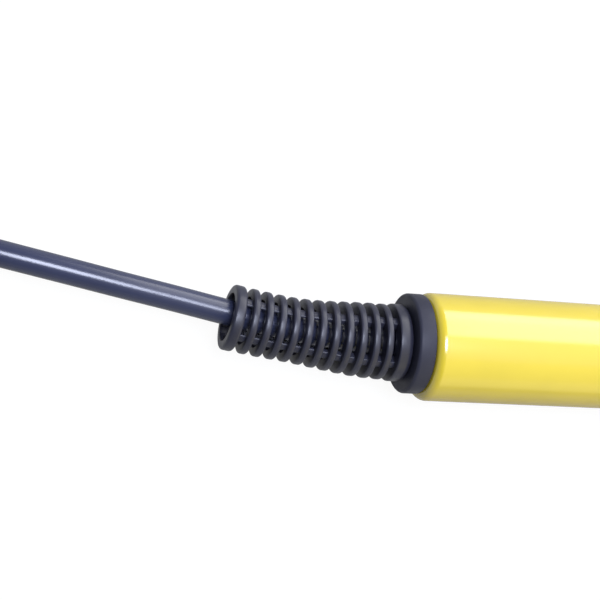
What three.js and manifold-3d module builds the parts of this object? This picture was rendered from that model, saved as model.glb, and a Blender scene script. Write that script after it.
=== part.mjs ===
// Corded pinpointer probe: a round housing with a coil nose, a gland collar with a ribbed strain-relief
// boot at the rear, and a lead that is folded into a hank and ends in a round screw plug.
// Millimetres, +Z up. The probe lies along +X on the surface z = 0, tip towards +X.

import * as THREE from "three";
import { mergeVertices } from "three/addons/utils/BufferGeometryUtils.js";
import Module from "manifold-3d";

const wasm = await Module();
wasm.setup();

// ---------------------------------------------------------------- driving dimensions
// Stations are distances along +X from the rear face of the collar.

const FIT = 0.3; // gap between pieces that seat on or inside each other
const OVERSHOOT = 1; // how far a cutting tool runs past the face it cuts
const ROUND = 36; // facets round a large turned piece
const MEDIUM_ROUND = 28; // facets round the collar, the boot's neighbours and the button
const SMALL_ROUND = 16; // facets round a small turned piece
const RUBBER_ROUND = 20; // facets round the ribbed boot
const PLUG_ROUND = 20; // facets round the plug's pieces, the button, the lens and the ferrite rod
const BEZEL_ROUND = 24;
const SCREW_ROUND = 12;
const CONTACT_HOLE_ROUND = 10;
const CONTACT_ROUND = 8;

// housing
const HOUSING_RADIUS = 16;
const HOUSING_WALL = 2.6;
const HOUSING_LENGTH = 140;
const END_WALL = 3.6;
const REAR_ROUNDING = 3.2;
const FRONT_CHAMFER = 0.6;

// gland collar, its seal and its nut
const COLLAR_RADIUS = 14.75;
const COLLAR_LENGTH = 5.2;
const COLLAR_ROUNDING = 1;
const GLAND_SIDE = 0.7; // the gland sits this far to one side in its clearance hole
const SPIGOT_RADIUS = 10;
const SPIGOT_REACH = 7.9; // how far the spigot stands past the end wall
const SEAL_SECTION = 0.6;
const SEAL_GROOVE_DEPTH = 1.2;
const SEAL_GROOVE_GAP = 0.2; // room each side of the seal in its groove
const SEAL_LAND = 0.9; // from the spigot's clearance to the seal
const NUT_LENGTH = 5;
const NUT_LAND = 1.9; // radial thickness of the nut
const NUT_NOTCHES = 6;
const NUT_NOTCH_DEPTH = 1;
const NUT_NOTCH_WIDTH = 3;

// lead
const CABLE_DIAMETER = 7.4;
const CABLE_BORE_GAP = 0.35;
const CABLE_INSIDE = 27; // how far the jacket runs into the housing

// strain-relief boot
const BOOT_NECK_RADIUS = 7.3;
const BOOT_FLANGE_RADIUS = 9;
const BOOT_FLANGE_LENGTH = 2;
const BOOT_BASE_RADIUS = 11.4;
const BOOT_BASE_LENGTH = 4.5;
const BOOT_SHOULDER = 1.6;
const BOOT_BORE_RADIUS = 6.75;
const RING_COUNT = 11; // thin rings, besides the thick ring at the cable end
const RING_THICKNESS = 2.05;
const RING_GAP = 1.9;
const RING_RADIUS_BASE = 11.1;
const RING_RADIUS_END = 9.3;
const RING_TAPER_START = 2.5; // thin rings at the cable end that keep the smaller radius
const END_RING_THICKNESS = 3.2;
const WEB_COUNT = 4;
const WEB_WIDTH = 2.6;
const WEB_DEPTH_BELOW_RING = 1.75;
const WEB_INSET = 0.05; // webs start this far outside the boot's bore
const SPINE_WIDTH = 10; // closed strip along the underside, between the two lower webs
const BOOT_BEND_RADIUS = 300;

// inner chassis and circuit board
const CHASSIS_WALL = 1.8;
const CHASSIS_START = 20;
const CHASSIS_END_GAP = 2; // room between the chassis and the nose spigot
const RAIL_TOP = -0.9;
const RAIL_LIP = 1.2;
const LEDGE = 1.6;
const BOARD_TOP = -2.4;
const BOARD_THICKNESS = 1.6;
const BOARD_HALF_WIDTH = 9.8;
const BOARD_START = 32;
const BOARD_END_GAP = 3; // room between the board's front edge and the chassis end
const CLAMP_START = 20.5;
const CLAMP_LENGTH = 6;
const CLAMP_HALF_WIDTH = 8.6;
const CLAMP_HEIGHT = 5.4;
const CLAMP_SPLIT = 0.7; // half the gap between saddle and clamp
const CLAMP_SCREW_SIDE = 6.3;
const CLAMP_SCREW_BITE = 4; // thread held by the chassis
const SCREW_RADIUS = 1;
const SCREW_HEAD_RADIUS = 2.1;
const SCREW_HEAD_HEIGHT = 1.2;
const SCREW_EDGE = 0.6; // share of the head's height that is straight
const SCREW_CROWN = 0.7; // share of the head's radius that is flat on top
const SCREW_SLOT = 0.6;

// push button, switch and spring
const BUTTON_RADIUS = 5;
const BUTTON_PROUD = 1.9; // top of the button above the housing
const BUTTON_TRAVEL = 1.2;
const BUTTON_FLANGE = 1.4;
const BUTTON_CROWN = 1;
const BUTTON_FLANGE_THICKNESS = 1.2;
const BUTTON_STEM_RADIUS = 2;
const BEZEL_WALL = 1.7;
const BEZEL_PROUD = 0.8;
const BEZEL_HEIGHT = 5.3;
const BEZEL_CHAMFER = 0.6;
const SWITCH_SIDE = 8;
const SWITCH_HEIGHT = 3.5;
const PLUNGER_RADIUS = 1.7;
const PLUNGER_PROUD = 1.2;
const SPRING_RADIUS = 3.2;
const SPRING_WIRE = 0.35;
const SPRING_TURNS = 5;

// indicator light
const LED_RADIUS = 1.5;
const LED_RIM = 0.4;
const LED_RIM_HEIGHT = 1;
const LED_BODY_HEIGHT = 5;
const LED_LEG_WIDTH = 0.5;
const LED_LEG_ROOT = 0.5; // how far a leg runs up into the body
const LED_LEG_PLACE = 0.6; // share of the body's radius
const LENS_RADIUS = 3;
const LENS_HEIGHT = 4.4;
const LENS_PROUD = 0.4;
const LENS_DOME = 0.6;
const LENS_CROWN = 0.15;
const LENS_CROWN_REACH = 0.6; // share of the lens radius

// vibration motor
const MOTOR_AHEAD = 2; // rear end of the motor, ahead of the middle of the chip beside it
const MOTOR_SIDE = -5.2;
const MOTOR_RADIUS = 3.5;
const MOTOR_LENGTH = 11;
const MOTOR_SHAFT_RADIUS = 0.6;
const WEIGHT_RADIUS = 3.1;
const WEIGHT_LENGTH = 4;
const WEIGHT_GAP = 1.5; // from the motor's face to the weight

// trimmer
const TRIMMER_SIDE = 5;
const TRIMMER_SIZE = 6;
const TRIMMER_HEIGHT = 4;
const TRIMMER_ROTOR_RADIUS = 1.9;
const TRIMMER_ROTOR_HEIGHT = 1.5;
const TRIMMER_SLOT_REACH = 0.7; // share of the rotor's radius that the slot reaches

// chips and capacitors
const DETECTOR_LENGTH = 10;
const DETECTOR_WIDTH = 7;
const DETECTOR_LEGS = 7; // along each side
const AMPLIFIER_LENGTH = 6;
const AMPLIFIER_WIDTH = 4;
const AMPLIFIER_LEGS = 4;
const AMPLIFIER_SIDE = 4;
const CAPACITOR_RADIUS = 3;
const CAPACITOR_HEIGHT = 9;
const CAPACITOR_SIDE = 5;
const CAPACITOR_RIM = 0.6; // bevel round the top
const CHIP_UNDERSIDE = 0.4;
const CHIP_TOP = 2.2;
const LEG_WIDTH = 0.6;
const LEG_HEIGHT = 0.9;
const LEG_REACH = 1; // how far a leg stands out of the chip's side

// Free lengths along the board. They stretch and shrink together with the board.
const GAP_BEHIND_CAPACITORS = 9;
const GAP_TO_AMPLIFIER = 4;
const GAP_WEIGHT_TO_DETECTOR = 2.5;
const GAP_TO_SWITCH = 6;
const GAP_TO_LED = 11.1;
const GAP_AHEAD_OF_LED = 14.4;

// coil nose
const NOSE_LENGTH = 59;
const NOSE_SPIGOT = 12.5;
const NOSE_SHOULDER = 6;
const NOSE_TAPER = 8;
const NOSE_RADIUS = 12.3;
const NOSE_BORE = 9.5;
const NOSE_RING_COUNT = 3;
const NOSE_RING_PITCH = 10;
const NOSE_RING_WIDTH = 1.5;
const NOSE_RING_DEPTH = 0.5;
const NOSE_RING_START = 0.8; // pitches from the taper to the middle of the first groove
const NOSE_SEAL_SECTION = 0.8;
const NOSE_GROOVE_GAP = 0.25;
const NOSE_SEAL_SETBACK = 2.7; // from the nose shoulder to the middle of the seal
const NOSE_SCREW_SETBACK = 7.5;
const NOSE_SCREW_COUNT = 3;
const TIP_LENGTH = 6;
const TIP_RIM = 2;
const TIP_SPIGOT = 5.5;

// coils
const FERRITE_RADIUS = 4;
const FERRITE_INSET = 0.6;
const FORMER_WALL = 1.5;
const FORMER_FLANGE = 8.3;
const FORMER_FLANGE_THICKNESS = 1.5;
const FORMER_SETBACK = 6.5; // from the nose shoulder to the former's rear flange
const FORMER_TIP_GAP = 1.2;
const SIDE_COIL_LENGTH = 9;
const COIL_DEPTH = 1.8;
const SHIELD_THICKNESS = 0.6;
const SHIELD_SLIT_DEGREES = 12;

// wires
const WIRE_RADIUS = 0.55;
const WIRE_SPREAD = 1.8; // between neighbouring wires where they leave the jacket
const WIRE_FAN = 1.4; // how much the spread grows on the way to the board
const WIRE_STRAIGHT = 2;
const WIRE_RISE = 0.2;
const WIRE_RISE_REACH = 1.5; // from the board's rear edge
const WIRE_PAD_REACH = 4;
const COIL_LEAD_SIDE = 3;
const COIL_LEAD_PAD_REACH = 5; // from the board's front edge
const COIL_LEAD_EDGE = 1;
const COIL_LEAD_MIDDLE_HEIGHT = 1.2;
const COIL_LEAD_HEIGHT = 5.2; // where the lead turns towards the former
const COIL_LEAD_END_HEIGHT = 5.4;
const COIL_LEAD_END_REACH = 4;

// hank of spare lead
const HANK_RIGHT = -168.4; // station of the centre of the fold nearest the probe
const HANK_STRAIGHT = 79;
const HANK_SIDE = -5.1; // y of the hank's centreline
const FOLD_RADIUS = 3 * CABLE_DIAMETER; // centreline of the inner turn at its folds
const TURN_PITCH = CABLE_DIAMETER + FIT;
const FOLD_STEPS = 10; // facets round a fold
const HANK_BEVEL = 1.8;
const TIE_CLEARANCE = 0.6;
const TIE_THICKNESS = 0.6;
const TIE_WIDTH = 12;

// screw plug
const PLUG_RADIUS = 9.3;
const PLUG_REAR = 47; // station of the plug's rear end past the hank's far fold
const PLUG_SHELL_RADIUS = 6.7;
const PLUG_BORE = 5.6;
const RELIEF_LENGTH = 9;
const RELIEF_TIP_RADIUS = 5.2;
const RELIEF_ROOT_RADIUS = 6.6;
const RELIEF_NECK_RADIUS = 5;
const RELIEF_NECK_LENGTH = 3;
const BACKNUT_LENGTH = 10;
const BACKNUT_STEP = 1; // below the coupling ring's radius
const BACKNUT_CHAMFER = 1;
const PLUG_THREAD_DEPTH = 0.6;
const PLUG_FLANGE_LENGTH = 2.4;
const PLUG_BARREL_LENGTH = 19.6;
const COUPLING_LENGTH = 15.5;
const COUPLING_SETBACK = 3.2; // from the ring's front edge to the shell's mouth
const KNURL_COUNT = 24;
const KNURL_DEPTH = 0.5;
const INSERT_RECESS = 1.5;
const INSERT_LENGTH = 20;
const INSERT_SHOULDER = 0.3; // step that the insert seats against
const CONTACT_RADIUS = 0.8;
const CONTACT_LENGTH = 12;
const CONTACT_CIRCLE = 3.1;
const OUTER_CONTACTS = 4;

// ---------------------------------------------------------------- places worked out from them

const housingRear = COLLAR_LENGTH + FIT;
const housingFront = housingRear + HOUSING_LENGTH;
const housingBore = HOUSING_RADIUS - HOUSING_WALL;
const innerRadius = housingBore - FIT;
const endWallInside = housingRear + END_WALL;
const spigotEnd = endWallInside + SPIGOT_REACH;
const noseRear = housingFront + FIT;
const noseFront = noseRear + NOSE_LENGTH;
const noseSpigotRear = noseRear - NOSE_SPIGOT;
const tipRear = noseFront + FIT;
const tipFront = tipRear + TIP_LENGTH;
const chassisEnd = noseSpigotRear - CHASSIS_END_GAP;
const boardEnd = chassisEnd - BOARD_END_GAP;
const boardBottom = BOARD_TOP - BOARD_THICKNESS;
const partSeat = BOARD_TOP + FIT; // underside of the pieces on the board
const cableRadius = CABLE_DIAMETER / 2;
const cableBore = cableRadius + CABLE_BORE_GAP;
const ringPitch = RING_THICKNESS + RING_GAP;
const bootRingsStart = -BOOT_BASE_LENGTH;
const bootEnd = bootRingsStart - RING_COUNT * ringPitch - RING_GAP - END_RING_THICKNESS;
const noseScrewStation = noseRear - NOSE_SCREW_SETBACK;
const switchTop = partSeat + SWITCH_HEIGHT;
const plungerTop = switchTop + PLUNGER_PROUD;
const bezelTop = HOUSING_RADIUS + BEZEL_PROUD;
const bezelBottom = bezelTop - BEZEL_HEIGHT;
const bezelRadius = BUTTON_RADIUS + FIT + BEZEL_WALL;
const buttonFlangeTop = bezelBottom - FIT;
const buttonFlangeBottom = buttonFlangeTop - BUTTON_FLANGE_THICKNESS;
const ledBase = LED_RADIUS + LED_RIM;
const motorReach = MOTOR_LENGTH + WEIGHT_GAP + WEIGHT_LENGTH;
const gapsDrawn = GAP_BEHIND_CAPACITORS + GAP_TO_AMPLIFIER + GAP_WEIGHT_TO_DETECTOR
  + GAP_TO_SWITCH + GAP_TO_LED + GAP_AHEAD_OF_LED;
const lengthTaken = 2 * CAPACITOR_RADIUS + AMPLIFIER_LENGTH / 2 + MOTOR_AHEAD + motorReach
  + DETECTOR_LENGTH + SWITCH_SIDE + 2 * ledBase;
const gapScale = (boardEnd - BOARD_START - lengthTaken) / gapsDrawn;
const capacitorStation = BOARD_START + GAP_BEHIND_CAPACITORS * gapScale + CAPACITOR_RADIUS;
const amplifierRear = capacitorStation + CAPACITOR_RADIUS + GAP_TO_AMPLIFIER * gapScale;
const amplifierStation = amplifierRear + AMPLIFIER_LENGTH / 2;
const motorStation = amplifierStation + MOTOR_AHEAD;
const detectorRear = motorStation + motorReach + GAP_WEIGHT_TO_DETECTOR * gapScale;
const detectorStation = detectorRear + DETECTOR_LENGTH / 2;
const trimmerStation = (amplifierStation + AMPLIFIER_LENGTH / 2 + detectorRear) / 2;
const switchRear = detectorRear + DETECTOR_LENGTH + GAP_TO_SWITCH * gapScale;
const buttonStation = switchRear + SWITCH_SIDE / 2;
const ledStation = switchRear + SWITCH_SIDE + GAP_TO_LED * gapScale + ledBase;
const hankLeft = HANK_RIGHT - HANK_STRAIGHT;
const hankLower = cableRadius + TIE_CLEARANCE + TIE_THICKNESS;
const hankUpper = hankLower + CABLE_DIAMETER;
const plugRear = hankLeft + PLUG_REAR;

// ---------------------------------------------------------------- materials

function plastic(color, roughness) {
  return new THREE.MeshStandardMaterial({ color, roughness, metalness: 0 });
}

function metal(color, roughness) {
  return new THREE.MeshStandardMaterial({ color, roughness, metalness: 1 });
}

const yellowGloss = plastic(0xefe064, 0.2);
const collarBlack = plastic(0x33343c, 0.5);
const rubberBlack = plastic(0x2c2d36, 0.55);
const cableJacket = plastic(0x3d3f50, 0.4);
const noseBlack = plastic(0x26272b, 0.45);
const sealRubber = plastic(0x1b1b1d, 0.8);
const chassisGrey = plastic(0x8a8d91, 0.6);
const boardGreen = plastic(0x1f5a37, 0.45);
const chipBlack = plastic(0x1e1f22, 0.5);
const buttonRed = plastic(0xb3261e, 0.4);
const ledClear = plastic(0xd23b32, 0.15);
const lensClear = plastic(0xe9eef2, 0.08);
const trimmerBlue = plastic(0x2a5fb0, 0.45);
const steel = metal(0xc7c9cc, 0.3);
const nickel = metal(0xb9babd, 0.35);
const gold = metal(0xd8b04c, 0.3);
const copper = metal(0xb8683a, 0.4);
const ferriteGrey = plastic(0x3a3b3d, 0.7);
const formerWhite = plastic(0xe4e2da, 0.6);
const shieldFoil = metal(0xa9abad, 0.35);
const strapGrey = plastic(0x3b3c40, 0.85);
const wireRed = plastic(0xa82a24, 0.5);
const wireBlack = plastic(0x202124, 0.5);
const wireWhite = plastic(0xdedcd5, 0.5);

// ---------------------------------------------------------------- helpers

// A closed geometry as a solid: shared corners merged, collapsed triangles left out.
function toSolid(geometry) {
  const bare = geometry.clone();
  bare.deleteAttribute("normal");
  bare.deleteAttribute("uv");
  const merged = mergeVertices(bare, 1e-4);
  const index = merged.index.array;
  const kept = [];
  for (let i = 0; i < index.length; i += 3) {
    const [a, b, c] = [index[i], index[i + 1], index[i + 2]];
    if (a !== b && b !== c && c !== a) {
      kept.push(a, b, c);
    }
  }
  const vertProperties = merged.attributes.position.array;
  return new wasm.Manifold(new wasm.Mesh({ numProp: 3, vertProperties, triVerts: new Uint32Array(kept) }));
}

function toGeometry(solid) {
  const mesh = solid.getMesh();
  const geometry = new THREE.BufferGeometry();
  geometry.setAttribute("position", new THREE.BufferAttribute(mesh.vertProperties, 3));
  geometry.setIndex(new THREE.BufferAttribute(mesh.triVerts, 1));
  geometry.computeVertexNormals();
  return geometry;
}

function cut(geometry, ...tools) {
  let solid = toSolid(geometry);
  for (const tool of tools) {
    solid = solid.subtract(toSolid(tool));
  }
  return toGeometry(solid);
}

function join(geometry, ...others) {
  let solid = toSolid(geometry);
  for (const other of others) {
    solid = solid.add(toSolid(other));
  }
  return toGeometry(solid);
}

// Turned piece about the X axis. The profile is a list of [station, radius].
function turnX(profile, facets = ROUND) {
  const points = profile.map(([station, radius]) => new THREE.Vector2(radius, station));
  return new THREE.LatheGeometry(points, facets).rotateZ(-Math.PI / 2);
}

// Turned piece about the Z axis. The profile is a list of [height, radius].
function turnZ(profile, facets = SMALL_ROUND) {
  const points = profile.map(([height, radius]) => new THREE.Vector2(radius, height));
  return new THREE.LatheGeometry(points, facets).rotateX(Math.PI / 2);
}

// Profile of a plain ring or tube, from low to high along its axis.
function ringProfile(low, high, inner, outer) {
  return [[low, inner], [low, outer], [high, outer], [high, inner], [low, inner]];
}

// Profile of a plain rod.
function rodProfile(low, high, radius) {
  return [[low, 0], [low, radius], [high, radius], [high, 0]];
}

// Points of an arc in a profile, as [along, across], from one angle in degrees to another.
function arcProfile(along, across, radiusAlong, radiusAcross, from, to, steps) {
  const points = [];
  for (let i = 0; i <= steps; i += 1) {
    const angle = THREE.MathUtils.degToRad(from + ((to - from) * i) / steps);
    points.push([along + radiusAlong * Math.cos(angle), across + radiusAcross * Math.sin(angle)]);
  }
  return points;
}

// Cross-section in the Y-Z plane, extruded along +X.
function extrudeX(shape, start, length) {
  const geometry = new THREE.ExtrudeGeometry(shape, { depth: length, bevelEnabled: false, curveSegments: 1 });
  const turn = new THREE.Matrix4().makeBasis(
    new THREE.Vector3(0, 1, 0),
    new THREE.Vector3(0, 0, 1),
    new THREE.Vector3(1, 0, 0),
  );
  return geometry.applyMatrix4(turn).translate(start, 0, 0);
}

function shapeFrom(points) {
  return new THREE.Shape(points.map(([x, y]) => new THREE.Vector2(x, y)));
}

// Box from its lowest to its highest corner.
function boxBetween(low, high) {
  const size = high.map((value, axis) => value - low[axis]);
  const middle = high.map((value, axis) => (value + low[axis]) / 2);
  return new THREE.BoxGeometry(...size).translate(...middle);
}

// Tube of a given radius along a smooth curve through the points.
function tubeAlong(points, radius, sides, steps) {
  const section = [];
  for (let i = 0; i < sides; i += 1) {
    const angle = (2 * Math.PI * i) / sides;
    section.push([radius * Math.cos(angle), radius * Math.sin(angle)]);
  }
  const path = new THREE.CatmullRomCurve3(points.map((point) => new THREE.Vector3(...point)));
  return new THREE.ExtrudeGeometry(shapeFrom(section), { steps, extrudePath: path, bevelEnabled: false });
}

function smoothstep(value) {
  const limited = THREE.MathUtils.clamp(value, 0, 1);
  return limited * limited * (3 - 2 * limited);
}

const probe = new THREE.Group(); // carries the probe, its axis on the group's X axis
const surface = new THREE.Group(); // carries what lies on the surface, z = 0 at that surface

function add(parent, name, geometry, material) {
  const mesh = new THREE.Mesh(geometry, material);
  mesh.name = name;
  parent.add(mesh);
  return mesh;
}

// ---------------------------------------------------------------- housing

// A screw hole through the housing wall, with a seat for the head, at an angle round the axis.
function noseScrewAngle(index) {
  return Math.PI / 2 + (index * 2 * Math.PI) / NOSE_SCREW_COUNT;
}

function radial(geometry, angle, station) {
  return geometry.rotateX(angle - Math.PI / 2).translate(station, 0, 0);
}

function housingTube() {
  const hole = SPIGOT_RADIUS + GLAND_SIDE + FIT;
  const flat = HOUSING_RADIUS - REAR_ROUNDING;
  const rounding = arcProfile(housingRear + REAR_ROUNDING, flat, REAR_ROUNDING, REAR_ROUNDING, 180, 90, 5);
  const tube = turnX([
    [housingRear, hole],
    ...rounding,
    [housingFront - FRONT_CHAMFER, HOUSING_RADIUS],
    [housingFront, HOUSING_RADIUS - FRONT_CHAMFER],
    [housingFront, housingBore],
    [endWallInside, housingBore],
    [endWallInside, hole],
    [housingRear, hole],
  ]);
  const above = HOUSING_RADIUS + OVERSHOOT;
  const buttonHole = turnZ(rodProfile(0, above, bezelRadius + FIT), 24).translate(buttonStation, 0, 0);
  const lensHole = turnZ(rodProfile(0, above, LENS_RADIUS + FIT), 20).translate(ledStation, 0, 0);
  const screwHoles = [];
  for (let i = 0; i < NOSE_SCREW_COUNT; i += 1) {
    const seat = HOUSING_RADIUS - SCREW_HEAD_HEIGHT - FIT;
    const hole = turnZ([
      [0, 0],
      [0, SCREW_RADIUS + FIT],
      [seat, SCREW_RADIUS + FIT],
      [seat, SCREW_HEAD_RADIUS + FIT],
      [above, SCREW_HEAD_RADIUS + FIT],
      [above, 0],
    ]);
    screwHoles.push(radial(hole, noseScrewAngle(i), noseScrewStation));
  }
  return cut(tube, buttonHole, lensHole, ...screwHoles);
}

add(probe, "housing_tube", housingTube(), yellowGloss);

// ---------------------------------------------------------------- gland

const gland = new THREE.Group();
gland.position.y = GLAND_SIDE;
probe.add(gland);

const sealRadius = SPIGOT_RADIUS + SEAL_SECTION + FIT + SEAL_LAND;

function collarProfile() {
  const rim = COLLAR_RADIUS - COLLAR_ROUNDING;
  const bore = BOOT_NECK_RADIUS + FIT;
  const grooveHalf = SEAL_SECTION + SEAL_GROOVE_GAP;
  const grooveFloor = COLLAR_LENGTH - SEAL_GROOVE_DEPTH;
  return [
    [0, bore],
    ...arcProfile(COLLAR_ROUNDING, rim, COLLAR_ROUNDING, COLLAR_ROUNDING, 180, 90, 3),
    [COLLAR_LENGTH - COLLAR_ROUNDING / 2, COLLAR_RADIUS],
    [COLLAR_LENGTH, COLLAR_RADIUS - COLLAR_ROUNDING / 2],
    [COLLAR_LENGTH, sealRadius + grooveHalf],
    [grooveFloor, sealRadius + grooveHalf],
    [grooveFloor, sealRadius - grooveHalf],
    [COLLAR_LENGTH, sealRadius - grooveHalf],
    [COLLAR_LENGTH, SPIGOT_RADIUS],
    [spigotEnd, SPIGOT_RADIUS],
    [spigotEnd, bore],
    [0, bore],
  ];
}

function sealRing(station, radius, section) {
  return turnX(arcProfile(station, radius, section, section, 360, 0, 6), MEDIUM_ROUND);
}

function locknut() {
  const inner = SPIGOT_RADIUS + FIT;
  const outer = inner + NUT_LAND;
  const start = endWallInside + FIT;
  const nut = turnX(ringProfile(start, start + NUT_LENGTH, inner, outer), MEDIUM_ROUND);
  const notches = [];
  for (let i = 0; i < NUT_NOTCHES; i += 1) {
    const low = [endWallInside + NUT_LENGTH / 2, -NUT_NOTCH_WIDTH / 2, outer - NUT_NOTCH_DEPTH];
    const high = [endWallInside + NUT_LENGTH + OVERSHOOT, NUT_NOTCH_WIDTH / 2, outer + OVERSHOOT];
    notches.push(boxBetween(low, high).rotateX((i * 2 * Math.PI) / NUT_NOTCHES));
  }
  return cut(nut, ...notches);
}

const sealMiddle = (COLLAR_LENGTH - SEAL_GROOVE_DEPTH + housingRear) / 2;
add(gland, "rear_collar", turnX(collarProfile(), MEDIUM_ROUND), collarBlack);
add(gland, "collar_seal", sealRing(sealMiddle, sealRadius, SEAL_SECTION), sealRubber);
add(gland, "gland_locknut", locknut(), nickel);

// ---------------------------------------------------------------- strain-relief boot

function ringRadius(index) {
  const along = (index - RING_TAPER_START) / (RING_COUNT - 1 - RING_TAPER_START);
  return RING_RADIUS_END + (RING_RADIUS_BASE - RING_RADIUS_END) * smoothstep(along);
}

// Index 0 is the thin ring nearest the cable end.
function ringCentre(index) {
  return bootRingsStart - (RING_COUNT - index) * ringPitch + RING_THICKNESS / 2;
}

function bootBaseProfile() {
  const shoulderCentre = BOOT_BASE_RADIUS - BOOT_SHOULDER;
  const flangeStart = spigotEnd + FIT;
  return [
    [bootRingsStart, BOOT_BORE_RADIUS],
    [bootRingsStart, BOOT_BASE_RADIUS],
    ...arcProfile(-FIT - BOOT_SHOULDER, shoulderCentre, BOOT_SHOULDER, BOOT_SHOULDER, 90, 0, 4),
    [-FIT, BOOT_NECK_RADIUS],
    [flangeStart, BOOT_NECK_RADIUS],
    [flangeStart, BOOT_FLANGE_RADIUS],
    [flangeStart + BOOT_FLANGE_LENGTH, BOOT_FLANGE_RADIUS],
    [flangeStart + BOOT_FLANGE_LENGTH, cableBore],
    [-FIT - BOOT_SHOULDER, cableBore],
    [bootRingsStart, BOOT_BORE_RADIUS],
  ];
}

// Webs, and the spine under them, that bridge one gap between two rings.
function bootWebs(low, high, ringEdge) {
  const start = low - RING_THICKNESS / 2;
  const end = high + RING_THICKNESS / 2;
  const inner = BOOT_BORE_RADIUS + WEB_INSET;
  const outer = ringEdge - WEB_DEPTH_BELOW_RING;
  const webs = [boxBetween([start, -SPINE_WIDTH / 2, -outer], [end, SPINE_WIDTH / 2, -inner])];
  for (let i = 0; i < WEB_COUNT; i += 1) {
    const web = boxBetween([start, -WEB_WIDTH / 2, inner], [end, WEB_WIDTH / 2, outer]);
    webs.push(web.rotateX(Math.PI / 4 + (i * 2 * Math.PI) / WEB_COUNT));
  }
  return webs;
}

// Bends the boot sideways behind the collar, with the lead.
function bendBoot(geometry) {
  const position = geometry.attributes.position;
  for (let i = 0; i < position.count; i += 1) {
    const [x, y, z] = [position.getX(i), position.getY(i), position.getZ(i)];
    const back = Math.max(0, -x);
    const side = back / BOOT_BEND_RADIUS;
    position.setXYZ(i, x + y * side, y + (back * side) / 2, z);
  }
  geometry.computeVertexNormals();
  return geometry;
}

function cableBoot() {
  const facets = RUBBER_ROUND;
  const pieces = [];
  for (let i = 0; i < RING_COUNT; i += 1) {
    const low = ringCentre(i) - RING_THICKNESS / 2;
    const high = ringCentre(i) + RING_THICKNESS / 2;
    pieces.push(turnX(ringProfile(low, high, BOOT_BORE_RADIUS, ringRadius(i)), facets));
    pieces.push(...bootWebs(high, high + RING_GAP, ringRadius(i)));
  }
  const endHigh = bootEnd + END_RING_THICKNESS;
  pieces.push(turnX(ringProfile(bootEnd, endHigh, BOOT_BORE_RADIUS, RING_RADIUS_END), facets));
  pieces.push(...bootWebs(endHigh, endHigh + RING_GAP, RING_RADIUS_END));
  return bendBoot(join(turnX(bootBaseProfile(), facets), ...pieces));
}

add(gland, "cable_boot", cableBoot(), rubberBlack);

// ---------------------------------------------------------------- chassis, clamp and board

function chassisOutline() {
  const inner = innerRadius - CHASSIS_WALL;
  const slotTop = BOARD_TOP + FIT;
  const slotBottom = boardBottom - FIT;
  const ledgeBottom = slotBottom - LEDGE;
  const slotWall = BOARD_HALF_WIDTH + FIT;
  const lip = BOARD_HALF_WIDTH - RAIL_LIP;
  const ledge = BOARD_HALF_WIDTH - LEDGE;
  const railAngle = THREE.MathUtils.radToDeg(Math.asin(RAIL_TOP / innerRadius));
  const innerAngle = THREE.MathUtils.radToDeg(Math.asin(ledgeBottom / inner));
  const half = [
    ...arcProfile(0, 0, innerRadius, innerRadius, -90, railAngle, 8),
    [lip, RAIL_TOP],
    [lip, slotTop],
    [slotWall, slotTop],
    [slotWall, slotBottom],
    [ledge, slotBottom],
    [ledge, ledgeBottom],
    ...arcProfile(0, 0, inner, inner, innerAngle, -90, 6),
  ];
  const other = half.slice(1, -1).map(([y, z]) => [-y, z]).reverse();
  return shapeFrom([...half, ...other]);
}

function cableGroove() {
  const start = CLAMP_START - OVERSHOOT;
  const end = CLAMP_START + CLAMP_LENGTH + OVERSHOOT;
  return turnX(rodProfile(start, end, cableRadius + FIT), 20).translate(0, GLAND_SIDE, 0);
}

function clampScrewHoles() {
  return [-1, 1].map((side) => {
    const hole = turnZ(rodProfile(-innerRadius / 2, CLAMP_HEIGHT + OVERSHOOT, SCREW_RADIUS + FIT), 12);
    return hole.translate(CLAMP_START + CLAMP_LENGTH / 2, side * CLAMP_SCREW_SIDE, 0);
  });
}

function chassis() {
  const rails = extrudeX(chassisOutline(), CHASSIS_START, chassisEnd - CHASSIS_START);
  const saddle = boxBetween(
    [CLAMP_START, -CLAMP_HALF_WIDTH, -innerRadius + CHASSIS_WALL / 2 + 4],
    [CLAMP_START + CLAMP_LENGTH, CLAMP_HALF_WIDTH, -CLAMP_SPLIT],
  );
  const foot = boxBetween(
    [CLAMP_START, -CLAMP_HALF_WIDTH / 2, -innerRadius + CHASSIS_WALL / 2],
    [CLAMP_START + CLAMP_LENGTH, CLAMP_HALF_WIDTH / 2, -innerRadius + CHASSIS_WALL / 2 + 5],
  );
  return cut(join(rails, saddle, foot), cableGroove(), ...clampScrewHoles());
}

function cableClamp() {
  const low = [CLAMP_START, -CLAMP_HALF_WIDTH, CLAMP_SPLIT];
  const high = [CLAMP_START + CLAMP_LENGTH, CLAMP_HALF_WIDTH, CLAMP_HEIGHT];
  return cut(boxBetween(low, high), cableGroove(), ...clampScrewHoles());
}

// Slotted pan-head screw, head up, the underside of the head at z = 0.
function screw(shaftLength) {
  const body = turnZ([
    [-shaftLength, 0],
    [-shaftLength, SCREW_RADIUS],
    [0, SCREW_RADIUS],
    [0, SCREW_HEAD_RADIUS],
    [SCREW_HEAD_HEIGHT * SCREW_EDGE, SCREW_HEAD_RADIUS],
    [SCREW_HEAD_HEIGHT, SCREW_HEAD_RADIUS * SCREW_CROWN],
    [SCREW_HEAD_HEIGHT, 0],
  ], SCREW_ROUND);
  const slotDepth = SCREW_HEAD_HEIGHT / 2;
  const slot = boxBetween(
    [-SCREW_HEAD_RADIUS - OVERSHOOT, -SCREW_SLOT / 2, SCREW_HEAD_HEIGHT - slotDepth],
    [SCREW_HEAD_RADIUS + OVERSHOOT, SCREW_SLOT / 2, SCREW_HEAD_HEIGHT + OVERSHOOT],
  );
  return cut(body, slot);
}

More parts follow.
